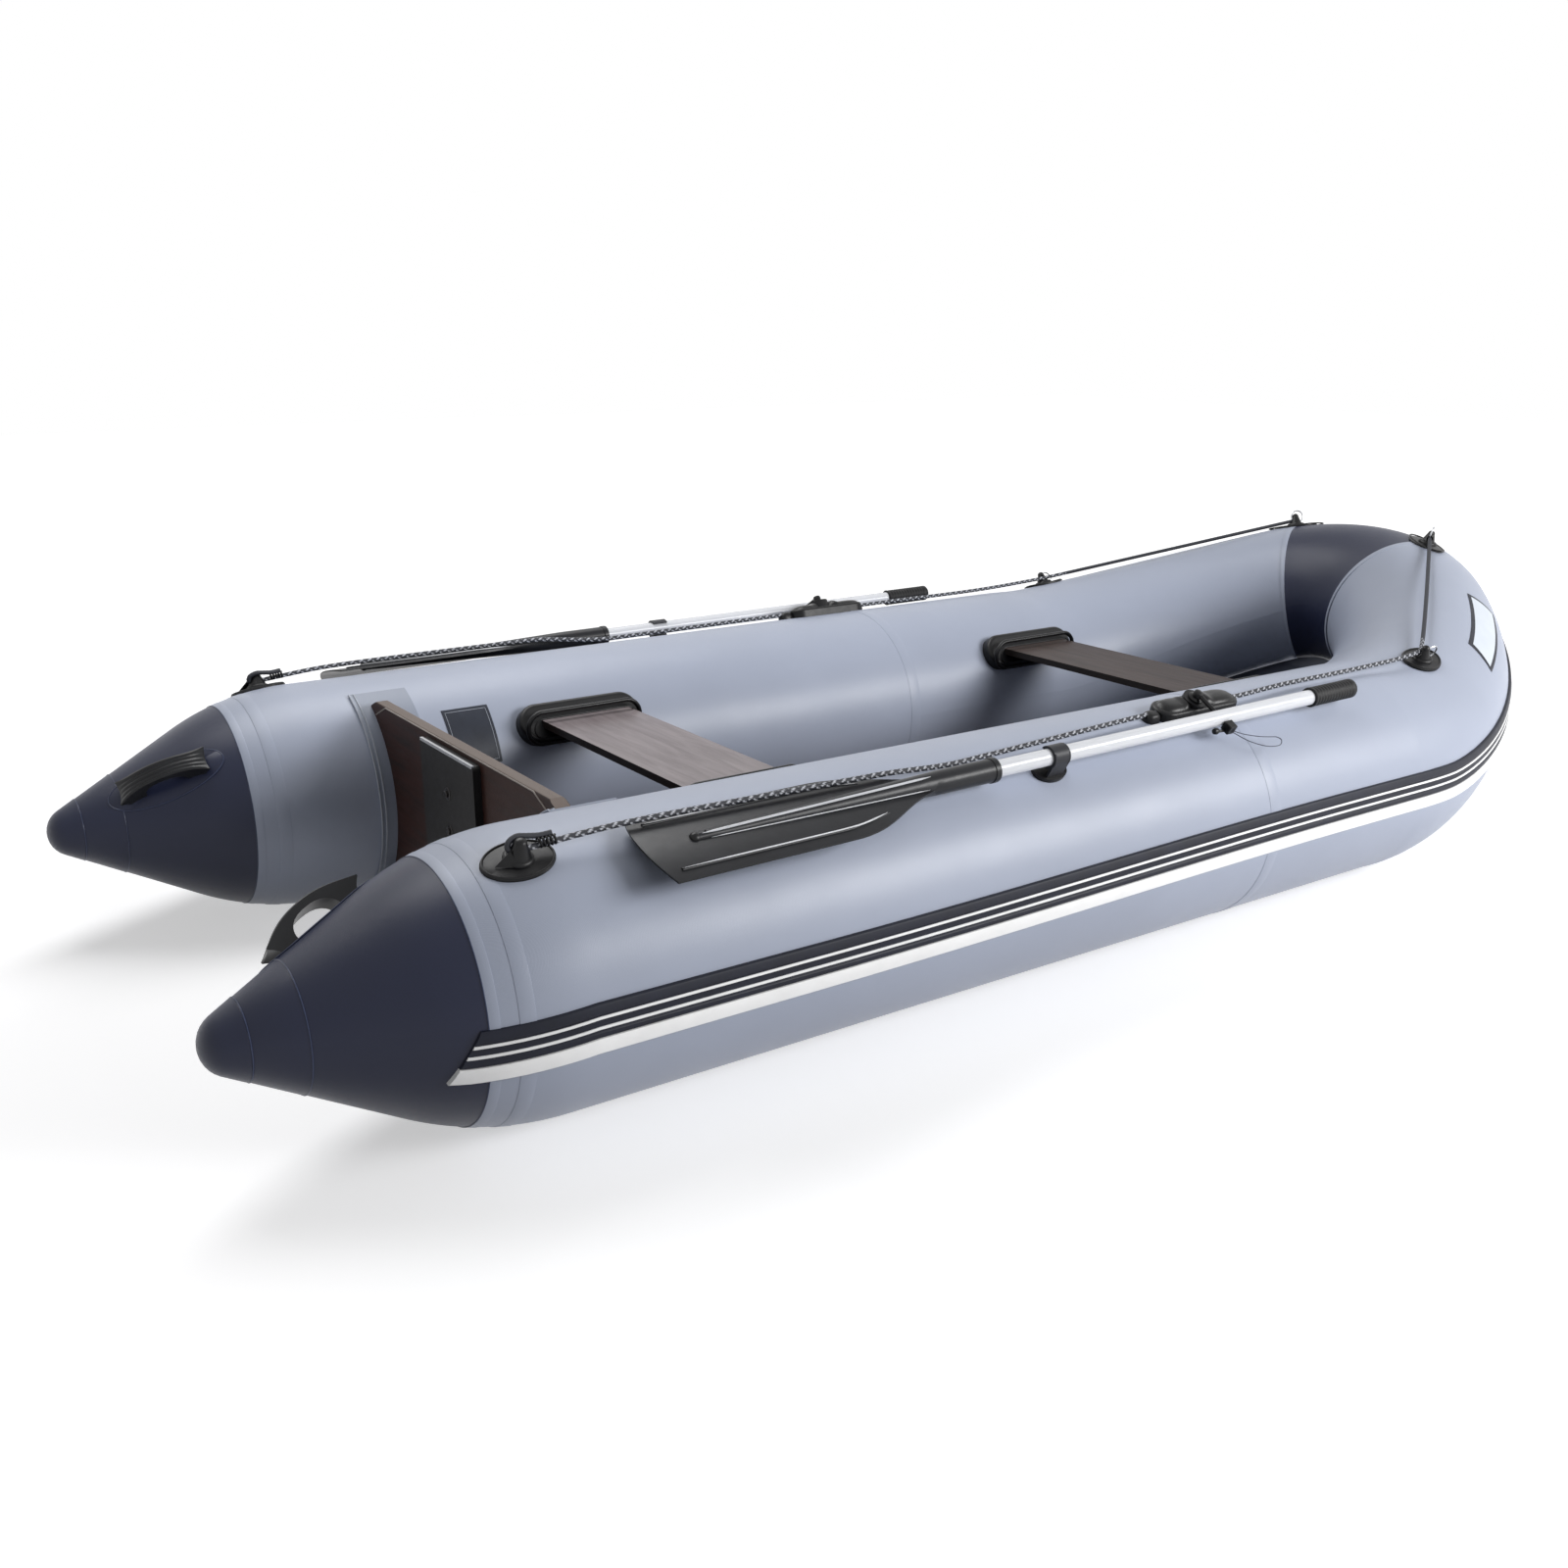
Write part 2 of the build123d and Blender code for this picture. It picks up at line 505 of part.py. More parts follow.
def rowlock():
    """Rubber foot with a tunnel for the grab line, and the swivel that the shaft is pinned to."""
    place, inboard = oar_plane(), PIVOT_OFFSET
    base = seat(*FOOT_PLACE)
    outline = SlotOverall(FOOT_LENGTH, FOOT_WIDTH)
    lift = ROPE_LIFT + ROPE_D / 2
    swivel_low = SWIVEL_STAND - OAR_HEIGHT
    pad = extrude(outline, FOOT_T)
    foot = base * (fillet(pad.edges().group_by(Axis.Z)[-1], FOOT_ROUND) + extrude(outline, -FOOT_ROOT))
    foot += place * (Pos(0, inboard, swivel_low - FIT)
                     * extrude(Circle(SWIVEL_D / 2 + COLLAR), -SWIVEL_STAND - FOOT_ROOT))
    foot -= tube(PIVOT_X - FOOT_LENGTH, PIVOT_X + FOOT_LENGTH, FIT)
    foot -= base * (Pos(0, 0, lift) * Rot(0, 90, 0)
                    * extrude(Circle(ROPE_D / 2 + TUNNEL_GAP), FOOT_LENGTH, both=True))
    socket = Pos(0, inboard, swivel_low - STUB_LENGTH - 1) * extrude(
        Circle(STUB_D / 2 + STUB_GAP), STUB_LENGTH + 2)
    starboard_and_port("rowlock_foot", foot - place * socket)

    turret = Pos(0, inboard, swivel_low) * extrude(Circle(SWIVEL_D / 2), -swivel_low + SHAFT_D / 2)
    turret = fillet(turret.edges().group_by(Axis.Z)[-1], SWIVEL_ROUND)
    stub = Pos(0, inboard, swivel_low - STUB_LENGTH) * extrude(Circle(STUB_D / 2), STUB_LENGTH + 1)
    pin_end = SHAFT_D / 2 + PIN_BLOCK / 2
    pin = Pos(0, inboard, 0) * Rot(90, 0, 0) * extrude(Circle(PIN_D / 2), inboard + pin_end)
    block = Pos(0, -SHAFT_D / 2 - 1 - PIN_BLOCK / 2, 0) * Box(PIN_BLOCK, PIN_BLOCK, PIN_BLOCK)
    starboard_and_port("rowlock_swivel", place * (turret + stub + pin + block))


def oar_clip():
    """Rubber hook that goes over the shaft from its outboard side, on an oval foot."""
    place = oar_plane() * Pos(along_oar(CLIP_X), 0, 0)
    near = lambda grow: tube(CLIP_X - CLIP_FOOT[0], CLIP_X + CLIP_FOOT[0], grow)
    foot = seat(CLIP_X, CLIP_ANGLE) * extrude(Ellipse(CLIP_FOOT[0] / 2, CLIP_FOOT[1] / 2), CLIP_FOOT[1] / 2, both=True)
    starboard_and_port("oar_clip_foot", (foot & near(CLIP_FOOT_T)) - near(FIT))
    bore = SHAFT_D / 2 + 0.8
    ring = Rot(0, 90, 0) * extrude(Circle(bore + CLIP_T) - Circle(bore), CLIP_WIDTH / 2, both=True)
    mouth = Pos(0, 2 * bore, -bore) * Box(CLIP_WIDTH + 2, 4 * bore, 2.6 * bore)
    stem = Pos(0, -bore - CLIP_T / 2, -OAR_HEIGHT / 2) * Box(CLIP_WIDTH, CLIP_T, OAR_HEIGHT)
    hook = place * (ring - mouth + stem) - near(CLIP_FOOT_T + FIT)
    starboard_and_port("oar_clip", hook)


# ---------------------------------------------------------------- carry handles and plates
def carry_handle():
    """Moulded strap handle arched over the inner flank of the stern cone, ribbed along its length."""
    slope, side = cone_lean() - pi / 2, radians(HANDLE_ANGLE)
    r = (CONE_NOSE_R + (HANDLE_X + CONE_LENGTH - CONE_NOSE_R) * sin(slope)) / cos(slope)
    out = Vector(0, cos(side), sin(side))
    flank = Plane(origin=Vector(HANDLE_X, -HALF_SPACING, TUBE_R) + out * r, x_dir=(1, 0, 0), z_dir=out)
    half = HANDLE_LENGTH / 2
    inside = half - HANDLE_FOOT
    strap = [ThreePointArc((-half, 0), (0, HANDLE_RISE), (half, 0)),
             *Polyline((half, 0), (half, -HANDLE_ROOT), (inside, -HANDLE_ROOT), (inside, 0)).edges(),
             ThreePointArc((inside, 0), (0, HANDLE_RISE - HANDLE_T), (-inside, 0)),
             *Polyline((-inside, 0), (-inside, -HANDLE_ROOT), (-half, -HANDLE_ROOT), (-half, 0)).edges()]
    bow = extrude(make_face(strap), HANDLE_WIDTH / 2, both=True)
    return flank * Rot(0, -degrees(slope), 0) * Rot(90, 0, 0) * bow - stern_cone(FIT)


def trim():
    starboard_and_port("carry_handle", carry_handle())
    length, width, thick = PLATE
    middle = PLATE_PLACE[0]
    plate = seat(*PLATE_PLACE) * extrude(Rectangle(length, width), width / 4, both=True)
    sheet = tube(middle - length, middle + length, thick) - tube(middle - length, middle + length, FIT)
    save("capacity_plate_blank", (plate & sheet).mirror(Plane.XZ))


hull()
strakes()
transom()
thwarts()
bottom()
floor_panels()
lines()
oars()
rowlock()
oar_clip()
trim()
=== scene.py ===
import bpy, bmesh, math
from mathutils import Vector, Matrix


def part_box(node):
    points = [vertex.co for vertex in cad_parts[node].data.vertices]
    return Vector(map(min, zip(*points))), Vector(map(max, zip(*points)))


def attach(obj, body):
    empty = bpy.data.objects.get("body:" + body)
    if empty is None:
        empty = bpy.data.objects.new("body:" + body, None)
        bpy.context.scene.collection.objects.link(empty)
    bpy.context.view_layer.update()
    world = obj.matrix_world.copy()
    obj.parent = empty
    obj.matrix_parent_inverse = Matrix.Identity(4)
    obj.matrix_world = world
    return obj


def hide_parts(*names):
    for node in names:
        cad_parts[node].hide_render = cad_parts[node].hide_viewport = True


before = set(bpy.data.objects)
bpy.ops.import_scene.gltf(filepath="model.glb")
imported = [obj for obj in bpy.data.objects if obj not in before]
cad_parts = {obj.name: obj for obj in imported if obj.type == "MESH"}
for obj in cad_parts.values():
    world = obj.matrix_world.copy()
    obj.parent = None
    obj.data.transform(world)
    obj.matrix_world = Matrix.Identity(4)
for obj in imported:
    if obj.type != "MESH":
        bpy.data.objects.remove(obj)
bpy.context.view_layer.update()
scene = bpy.context.scene


# ------------------------------------------------------------------ the hull's own axis, in metres
low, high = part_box("aft_tube_starboard")
SEAM_X = low.x                              # stern cone seam
TUBE_R = (high.z - low.z) / 2
HALF = -(low.y + high.y) / 2
PANEL_SEAM = high.x - low.x
BOW_R = 0.180
STRAIGHT, QUARTER_R, QUARTER = 1.923, 0.887, math.radians(47.6)
RISE_START, BOW_RISE, RISE_POWER = 2.000, 0.200, 1.5
BOW_SEAM = 0.138
CONE_L, CONE_LEAN = 0.313, math.radians(28.6)       # the cones are straight-sided, with a long soft shoulder
SHOULDER_R, CORNER = 0.450, 0.0255                  # that starts on the side tube
SHOULDER_X = CORNER + SHOULDER_R * math.tan(CONE_LEAN / 2)
NOSE_R = (TUBE_R - (CORNER + CONE_L) * math.tan(CONE_LEAN)) * math.cos(CONE_LEAN) / (1 - math.sin(CONE_LEAN))
STEM_R = (HALF - QUARTER_R * (1 - math.cos(QUARTER))) / math.cos(QUARTER)
STEM_X = STRAIGHT + QUARTER_R * math.sin(QUARTER) + STEM_R * (1 - math.sin(QUARTER))
QUARTER_END = STRAIGHT + QUARTER_R * QUARTER
STEM_D = QUARTER_END + STEM_R * (math.pi / 2 - QUARTER)


def plan(d):
    """Plan position and heading of the starboard axis at d along it from the cone seam."""
    if d <= STRAIGHT:
        return d, -HALF, 0.0
    if d <= QUARTER_END:
        h = (d - STRAIGHT) / QUARTER_R
        return STRAIGHT + QUARTER_R * math.sin(h), -HALF + QUARTER_R * (1 - math.cos(h)), h
    h = QUARTER + (d - QUARTER_END) / STEM_R
    return STEM_X - STEM_R * (1 - math.sin(h)), -STEM_R * math.cos(h), h


def rise(x):
    """Lift of the axis over its straight stretch, at x ahead of the seam."""
    return BOW_RISE * max(0.0, (x - RISE_START) / (STEM_X - RISE_START)) ** RISE_POWER


def tube_radius(d):
    """The tube tapers along the bow quarter, and rounds into the cone at the stern."""
    if d < SHOULDER_X:
        return cone_profile(d)
    u = min(1.0, max(0.0, (d - STRAIGHT) / (QUARTER_END - STRAIGHT)))
    return TUBE_R + (BOW_R - TUBE_R) * u * u * (3 - 2 * u)


def axes(d, side=-1):
    """Centre, inboard, up and along at d, on starboard (-1) or port (1). Past the stem it goes on to port."""
    if d > STEM_D:
        c, i, u, a = axes(2 * STEM_D - d, -side)
        return c, i, u, -a
    x, y, h = plan(d)
    c, s = math.cos(h), math.sin(h)
    slope = (rise(x + 0.001 * c) - rise(x - 0.001 * c)) / 0.002
    along = Vector((c, s, slope)).normalized()
    inboard = Vector((-s, c, 0))
    up = along.cross(inboard)
    flip = Matrix.Diagonal((1, -side, 1))
    return flip @ Vector((SEAM_X + x, y, TUBE_R + rise(x))), flip @ inboard, flip @ up, flip @ along


def cone_profile(x):
    """Radius from the shoulder's start on the tube back to the nose; x is negative aft of the seam."""
    if x >= SHOULDER_X - SHOULDER_R * math.sin(CONE_LEAN):
        return TUBE_R - SHOULDER_R + math.sqrt(SHOULDER_R ** 2 - (SHOULDER_X - x) ** 2)
    if x >= -CONE_L + NOSE_R * (1 - math.sin(CONE_LEAN)):
        return TUBE_R - (CORNER - x) * math.tan(CONE_LEAN)
    return math.sqrt(max(0.0, NOSE_R ** 2 - (x + CONE_L - NOSE_R) ** 2))


def on(d, angle, lift=0.0, side=-1):
    """Point over the tube, or over the stern cone where d is negative. 0 is outboard, 90 on top."""
    if d > STEM_D:
        return on(2 * STEM_D - d, angle, lift, -side)
    centre, inboard, up, _ = axes(max(d, 0.0), side)
    r = (tube_radius(d) if d >= 0 else cone_profile(d)) + lift
    a = math.radians(angle)
    return centre + Vector((min(d, 0.0), 0, 0)) + inboard * (-r * math.cos(a)) + up * (r * math.sin(a))


def normal(d, angle, side=-1):
    """Unit vector out of the tube."""
    return (on(d, angle, 0.02, side) - on(d, angle, 0.0, side)).normalized()


# ------------------------------------------------------------------ materials
def nodes_of(name):
    """A new material, its tree and its main shader."""
    m = bpy.data.materials.new(name)
    m.use_nodes = True
    t = m.node_tree
    return m, t, t.nodes["Principled BSDF"]


def link(t, a, b):
    t.links.new(a, b)


def rgb(r, g, b):
    """sRGB 0-255 to linear."""
    f = lambda c: c / 255 / 12.92 if c / 255 <= 0.04045 else ((c / 255 + 0.055) / 1.055) ** 2.4
    return f(r), f(g), f(b), 1.0


def coords(t, scale=(1, 1, 1)):
    """Object coordinates, stretched by scale."""
    c = t.nodes.new("ShaderNodeTexCoord")
    m = t.nodes.new("ShaderNodeMapping")
    m.inputs["Scale"].default_value = scale
    link(t, c.outputs["Object"], m.inputs["Vector"])
    return m.outputs["Vector"]


def noise(t, vector, scale, detail=3.0, rough=0.55, distortion=0.0):
    n = t.nodes.new("ShaderNodeTexNoise")
    n.inputs["Scale"].default_value = scale
    n.inputs["Detail"].default_value = detail
    n.inputs["Roughness"].default_value = rough
    n.inputs["Distortion"].default_value = distortion
    link(t, vector, n.inputs["Vector"])
    return n.outputs["Fac"]


def ramp(t, fac, *stops):
    """Colour ramp from (position, colour) stops."""
    r = t.nodes.new("ShaderNodeValToRGB")
    els = r.color_ramp.elements
    while len(els) < len(stops):
        els.new(0.5)
    for e, (pos, col) in zip(els, stops):
        e.position, e.color = pos, col
    link(t, fac, r.inputs["Fac"])
    return r.outputs["Color"]


def scaled(t, fac, low, high):
    """A 0-1 output mapped to low-high."""
    m = t.nodes.new("ShaderNodeMapRange")
    m.inputs["To Min"].default_value, m.inputs["To Max"].default_value = low, high
    link(t, fac, m.inputs["Value"])
    return m.outputs["Result"]


def bump(t, height, distance, strength=1.0, after=None):
    """Relief, on top of another where after is given."""
    b = t.nodes.new("ShaderNodeBump")
    b.inputs["Distance"].default_value = distance
    b.inputs["Strength"].default_value = strength
    link(t, height, b.inputs["Height"])
    if after:
        link(t, after, b.inputs["Normal"])
    return b.outputs["Normal"]


def maths(t, operation, a, b=None):
    """A math node on one or two outputs; a number as the second one is its constant."""
    m = t.nodes.new("ShaderNodeMath")
    m.operation = operation
    link(t, a, m.inputs[0])
    if isinstance(b, (int, float)):
        m.inputs[1].default_value = b
    elif b is not None:
        link(t, b, m.inputs[1])
    return m.outputs[0]


def shade(c, k):
    """A colour made darker or lighter."""
    return c[0] * k, c[1] * k, c[2] * k, 1.0


def coated_fabric(name, colour, rough=0.36, wear=0.06, gloss=0.38):
    """PVC coated fabric: faint cloth relief under a satin skin, with soft puckers and dust."""
    m, t, p = nodes_of(name)
    v = coords(t)
    big = noise(t, v, 2.3, 4)
    col = ramp(t, big, (0.25, shade(colour, 1 - wear)), (0.5, colour), (0.78, shade(colour, 1 + wear)))
    link(t, col, p.inputs["Base Color"])
    link(t, scaled(t, noise(t, v, 11, 5), rough - 0.05, rough + 0.07), p.inputs["Roughness"])
    p.inputs["Specular IOR Level"].default_value = gloss
    waves = []
    for turn in (0.6, -0.97):
        w = t.nodes.new("ShaderNodeTexWave")
        w.inputs["Scale"].default_value = 420
        w.inputs["Distortion"].default_value = 0.4
        rot = t.nodes.new("ShaderNodeMapping")
        rot.inputs["Rotation"].default_value = (0.0, turn, turn)
        link(t, v, rot.inputs["Vector"])
        link(t, rot.outputs["Vector"], w.inputs["Vector"])
        waves.append(w.outputs["Fac"])
    weave = maths(t, "MULTIPLY", *waves)
    n = bump(t, noise(t, v, 5.5, 2, 0.4), 0.006, 0.35)
    n = bump(t, weave, 0.00012, 0.5, n)
    n = bump(t, noise(t, v, 900, 2), 0.00008, 0.5, n)
    link(t, n, p.inputs["Normal"])
    return m


def rubber(name, colour, rough=0.42, grain=600, depth=0.00015, vary=0.25):
    """Moulded rubber or plastic: fine grain, slightly uneven colour and gloss."""
    m, t, p = nodes_of(name)
    v = coords(t)
    link(t, ramp(t, noise(t, v, 24, 5), (0.3, shade(colour, 1 - vary)), (0.7, shade(colour, 1 + vary))),
         p.inputs["Base Color"])
    p.inputs["Specular IOR Level"].default_value = 0.25
    link(t, scaled(t, noise(t, v, 60, 4), rough - 0.07, rough + 0.1), p.inputs["Roughness"])
    n = bump(t, noise(t, v, grain, 3), depth, 0.6)
    n = bump(t, noise(t, v, 45, 2), 0.0006, 0.35, n)
    link(t, n, p.inputs["Normal"])
    return m


def plywood(name, face, dark, edge, rough=0.34, along="x"):
    """Film-faced marine plywood: streaked face, pressed mesh relief, ply lines on the edges.

    along is the grain's way; "t" is an upright board that faces aft, whose grain runs across."""
    m, t, p = nodes_of(name)
    stretch = (3.2, 34, 34) if along == "x" else (34, 3.2, 34)
    v = coords(t, stretch)
    flat = coords(t)
    streak = noise(t, v, 1.6, 7, 0.62, 0.6)
    col = ramp(t, streak, (0.28, dark), (0.52, face), (0.8, shade(face, 1.35)))
    geo = t.nodes.new("ShaderNodeNewGeometry")
    sep = t.nodes.new("ShaderNodeSeparateXYZ")
    link(t, geo.outputs["True Normal"], sep.inputs["Vector"])
    main = "Z" if along != "t" else "X"
    on_edge = maths(t, "LESS_THAN", maths(t, "ABSOLUTE", sep.outputs[main]), 0.6)
    plies = t.nodes.new("ShaderNodeTexWave")
    plies.bands_direction = main
    plies.inputs["Scale"].default_value = 110
    plies.inputs["Distortion"].default_value = 1.2
    plies.inputs["Detail Scale"].default_value = 3
    link(t, flat, plies.inputs["Vector"])
    edge_col = ramp(t, plies.outputs["Fac"], (0.25, shade(edge, 0.62)), (0.75, edge))
    mix = t.nodes.new("ShaderNodeMix")
    mix.data_type = "RGBA"
    link(t, on_edge, mix.inputs["Factor"])
    link(t, col, mix.inputs["A"])
    link(t, edge_col, mix.inputs["B"])
    link(t, mix.outputs["Result"], p.inputs["Base Color"])
    link(t, scaled(t, noise(t, v, 3, 4), rough - 0.06, rough + 0.12), p.inputs["Roughness"])
    p.inputs["Specular IOR Level"].default_value = 0.22
    mesh_a = t.nodes.new("ShaderNodeTexVoronoi")
    mesh_a.inputs["Scale"].default_value = 260
    link(t, flat, mesh_a.inputs["Vector"])
    n = bump(t, streak, 0.0006, 0.35)
    n = bump(t, mesh_a.outputs["Distance"], 0.0004, 0.3, n)
    link(t, n, p.inputs["Normal"])
    return m


def painted_metal(name, colour, rough=0.25, metal=0.0):
    """Painted tube or bare metal with a faint drawn grain."""
    m, t, p = nodes_of(name)
    v = coords(t, (6, 60, 60))
    link(t, ramp(t, noise(t, v, 4, 4), (0.3, shade(colour, 0.9)), (0.7, colour)), p.inputs["Base Color"])
    link(t, scaled(t, noise(t, v, 9, 4), rough - 0.06, rough + 0.1), p.inputs["Roughness"])
    p.inputs["Metallic"].default_value = metal
    link(t, bump(t, noise(t, v, 30, 3), 0.00005, 0.5), p.inputs["Normal"])
    return m


def vertex_rope(name):
    """Braided line: the strand colours, with painted shade in the dips between strands, come from the mesh, with a
    fine fibre relief.
    """
    m, t, p = nodes_of(name)
    a = t.nodes.new("ShaderNodeAttribute")
    a.attribute_name = "strand"
    link(t, a.outputs["Color"], p.inputs["Base Color"])
    p.inputs["Roughness"].default_value = 0.62
    link(t, bump(t, noise(t, coords(t), 1500, 2), 0.0003, 0.6), p.inputs["Normal"])
    return m


GREY = rgb(161, 168, 185)
NAVY = rgb(32, 37, 60)
MAT = {
    "grey": coated_fabric("grey_pvc", GREY, 0.36),
    "navy": coated_fabric("navy_pvc", NAVY, 0.36, 0.10, 0.30),
    "bottom": coated_fabric("bottom_pvc", rgb(58, 62, 74), 0.5, 0.10),
    "holder": coated_fabric("holder_pvc", rgb(138, 145, 160), 0.42),
    "rubber": rubber("moulded_rubber", rgb(16, 16, 18), 0.36),
    "rubber_soft": rubber("clip_rubber", rgb(40, 41, 46), 0.40),
    "strake": rubber("strake_dark", rgb(20, 23, 36), 0.42, 300),
    "white": rubber("strake_white", rgb(246, 246, 246), 0.38, 300, vary=0.03),
    "thwart": plywood("thwart_plywood", rgb(124, 115, 117), rgb(102, 93, 95), rgb(40, 33, 31), 0.30, "y"),
    "thwart_brown": plywood("forward_thwart_plywood", rgb(52, 42, 39), rgb(38, 31, 29), rgb(28, 23, 21), 0.46, "y"),
    "floor": plywood("floor_plywood", rgb(74, 66, 64), rgb(56, 49, 48), rgb(92, 76, 62), 0.40, "x"),
    "transom": plywood("transom_plywood", rgb(42, 21, 16), rgb(22, 14, 12), rgb(112, 100, 93), 0.50, "t"),
    "pad": rubber("motor_pad", rgb(22, 21, 21), 0.5, 800, 0.0002),
    "metal": painted_metal("oar_tube_white", rgb(216, 218, 223), 0.22),
    "oar_black": rubber("oar_plastic", rgb(24, 25, 29), 0.32, 900, 0.0001),
    "grip": rubber("oar_grip", rgb(19, 19, 21), 0.5, 1400, 0.0004),
    "swivel": rubber("rowlock_plastic", rgb(18, 18, 20), 0.28),
    "plate": rubber("blank_plate", rgb(40, 44, 54), 0.42, 300),
    "steel": painted_metal("steel", rgb(196, 198, 202), 0.22, 1.0),
    "rope": vertex_rope("braided_rope"),
    # a real pale strip on the motor pad; on the oar blade the same colour makes painted highlight lines
    "bead": rubber("pale_strip_and_highlight", rgb(206, 208, 213), 0.22, vary=0.04),
    "handle": rubber("handle_rubber", rgb(27, 28, 31), 0.30, 500),
    "patch": rubber("blank_patch", rgb(204, 211, 220), 0.35, 300, vary=0.03),
    # lighter navy lines along the cones' seam edges and the handle patch's edge: painted highlights
    "navy_edge_highlight": rubber("cone_edge_highlight", rgb(62, 69, 94), 0.32, 300, vary=0.15),
    "welt": rubber("pale_welt", rgb(170, 175, 186), 0.35, vary=0.06),
    # painted highlight along the transom's bevelled top edge
    "edge": rubber("painted_bevel_highlight", rgb(150, 142, 136), 0.45),
    "bolt": painted_metal("dark_bolt", rgb(60, 58, 58), 0.32, 0.9),
    "cord": rubber("keeper_cord", rgb(92, 96, 108), 0.5),
}


def dress(node, mat):
    """Give a CAD node its material."""
    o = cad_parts[node]
    o.data.materials.clear()
    o.data.materials.append(mat)


for s in ("port", "starboard"):
    for n, m in (("stern_cone", "navy"), ("aft_tube", "grey"), ("forward_tube", "grey"),
                 ("transom_holder", "holder"), ("thwart_socket_aft", "rubber"),
                 ("thwart_socket_forward", "rubber"), ("stern_line_fitting", "rubber"),
                 ("bow_side_fitting", "rubber"), ("bow_top_fitting", "rubber"), ("grab_line", "rope"),
                 ("oar_shaft", "metal"), ("oar_grip", "grip"), ("oar_blade", "oar_black"), ("rowlock_foot", "rubber"),
                 ("rowlock_swivel", "swivel"), ("oar_clip_foot", "rubber"), ("oar_clip", "rubber_soft"),
                 ("carry_handle", "rubber")):
        dress(f"{n}_{s}", MAT[m])
for n, m in (("bow_tube", "navy"), ("rub_strake", "strake"), ("rub_strake_white", "white"), ("transom", "transom"),
             ("transom_motor_pad", "pad"), ("transom_inner_pad", "pad"), ("thwart_aft", "thwart"),
             ("thwart_forward", "thwart_brown"), ("bottom_skin", "bottom"), ("capacity_plate_blank", "plate")):
    dress(n, MAT[m])
for i in range(1, 5):
    dress(f"floor_panel_{i}", MAT["floor"])


# ------------------------------------------------------------------ mesh makers
def piece(name, verts, faces, mat, body="root", sharp=40):
    """A mesh that rides a body, with its faces turned outward."""
    data = bpy.data.meshes.new(name)
    data.from_pydata([tuple(v) for v in verts], [], faces)
    bm = bmesh.new()
    bm.from_mesh(data)
    bmesh.ops.recalc_face_normals(bm, faces=bm.faces)
    bm.to_mesh(data)
    bm.free()
    data.shade_smooth()
    data.set_sharp_from_angle(angle=math.radians(sharp))
    data.materials.append(mat)
    o = bpy.data.objects.new(name, data)
    scene.collection.objects.link(o)
    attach(o, body)
    return o


def skin(name, rows, mat, body="root", round_rows=False, round_cols=False, caps=False, sharp=40):
    """Mesh through a grid of points, closed round its rows or columns where asked."""
    n, m = len(rows), len(rows[0])
    verts = [v for row in rows for v in row]
    faces = []
    for i in range(n if round_rows else n - 1):
        for j in range(m if round_cols else m - 1):
            k, l = (i + 1) % n, (j + 1) % m
            faces.append((i * m + j, i * m + l, k * m + l, k * m + j))
    if caps:
        faces += [tuple(range(m)), tuple(range((n - 1) * m, n * m))]
    return piece(name, verts, faces, mat, body, sharp)


def smooth_line(points, steps=8):
    """Catmull-Rom curve through the points."""
    p = [points[0] * 2 - points[1]] + list(points) + [points[-1] * 2 - points[-2]]
    out = []
    for a, b, c, d in zip(p, p[1:], p[2:], p[3:]):
        for i in range(steps):
            t = i / steps
            out.append(0.5 * ((2 * b) + (c - a) * t + (2 * a - 5 * b + 4 * c - d) * t * t
                              + (3 * b - a - 3 * c + d) * t ** 3))
    return out + [points[-1]]


def frames_along(points, closed=False):
    """Tangent and two cross directions at each point, carried along without twist."""
    n = len(points)
    out, last = [], None
    for i, p in enumerate(points):
        a = points[(i - 1) % n] if closed or i else p
        b = points[(i + 1) % n] if closed or i < n - 1 else p
        t = (b - a).normalized()
        if last is None:
            last = t.orthogonal().normalized()
        last = (last - t * last.dot(t)).normalized()
        out.append((t, last, t.cross(last)))
    return out


def cable(name, points, radius, mat, body="root", sides=10, closed=False):
    """Round bar along the points; radius is a number or one number per point."""
    radii = radius if isinstance(radius, (list, tuple)) else [radius] * len(points)
    rows = []
    for p, (t, u, v), r in zip(points, frames_along(points, closed), radii):
        rows.append([p + (u * math.cos(a) + v * math.sin(a)) * r
                     for a in (2 * math.pi * k / sides for k in range(sides))])
    return skin(name, rows, mat, body, round_rows=closed, round_cols=True, caps=not closed)


def lathe(name, profile, origin, axis, mat, body="root", sides=24):
    """Solid of revolution from (radius, height) pairs along an axis."""
    z = Vector(axis).normalized()
    u = z.orthogonal().normalized()
    v = z.cross(u)
    rows = [[origin + z * h + (u * math.cos(a) + v * math.sin(a)) * r
             for a in (2 * math.pi * k / sides for k in range(sides))] for r, h in profile]
    return skin(name, rows, mat, body, round_cols=True, caps=True)


def ring_strip(name, d0, d1, lift, mat, side, edge=0.0015, steps=120):
    """Thin welded strip round the tube or cone with bevelled edges."""
    across = [(d0, -0.0006), (d0 + edge * 0.3, lift * 0.7), (d0 + edge, lift), (d1 - edge, lift),
              (d1 - edge * 0.3, lift * 0.7), (d1, -0.0006)]
    rows = [[on(d, 360 * k / steps, h, side) for d, h in across] for k in range(steps)]
    return skin(name, rows, mat, round_rows=True, sharp=25)


SIDES = (("starboard", -1), ("port", 1))
BOW_SEAM_D = QUARTER_END                    # where the dark bow panel's seam crosses the axis
while plan(BOW_SEAM_D)[1] < -BOW_SEAM:
    BOW_SEAM_D += 0.0005


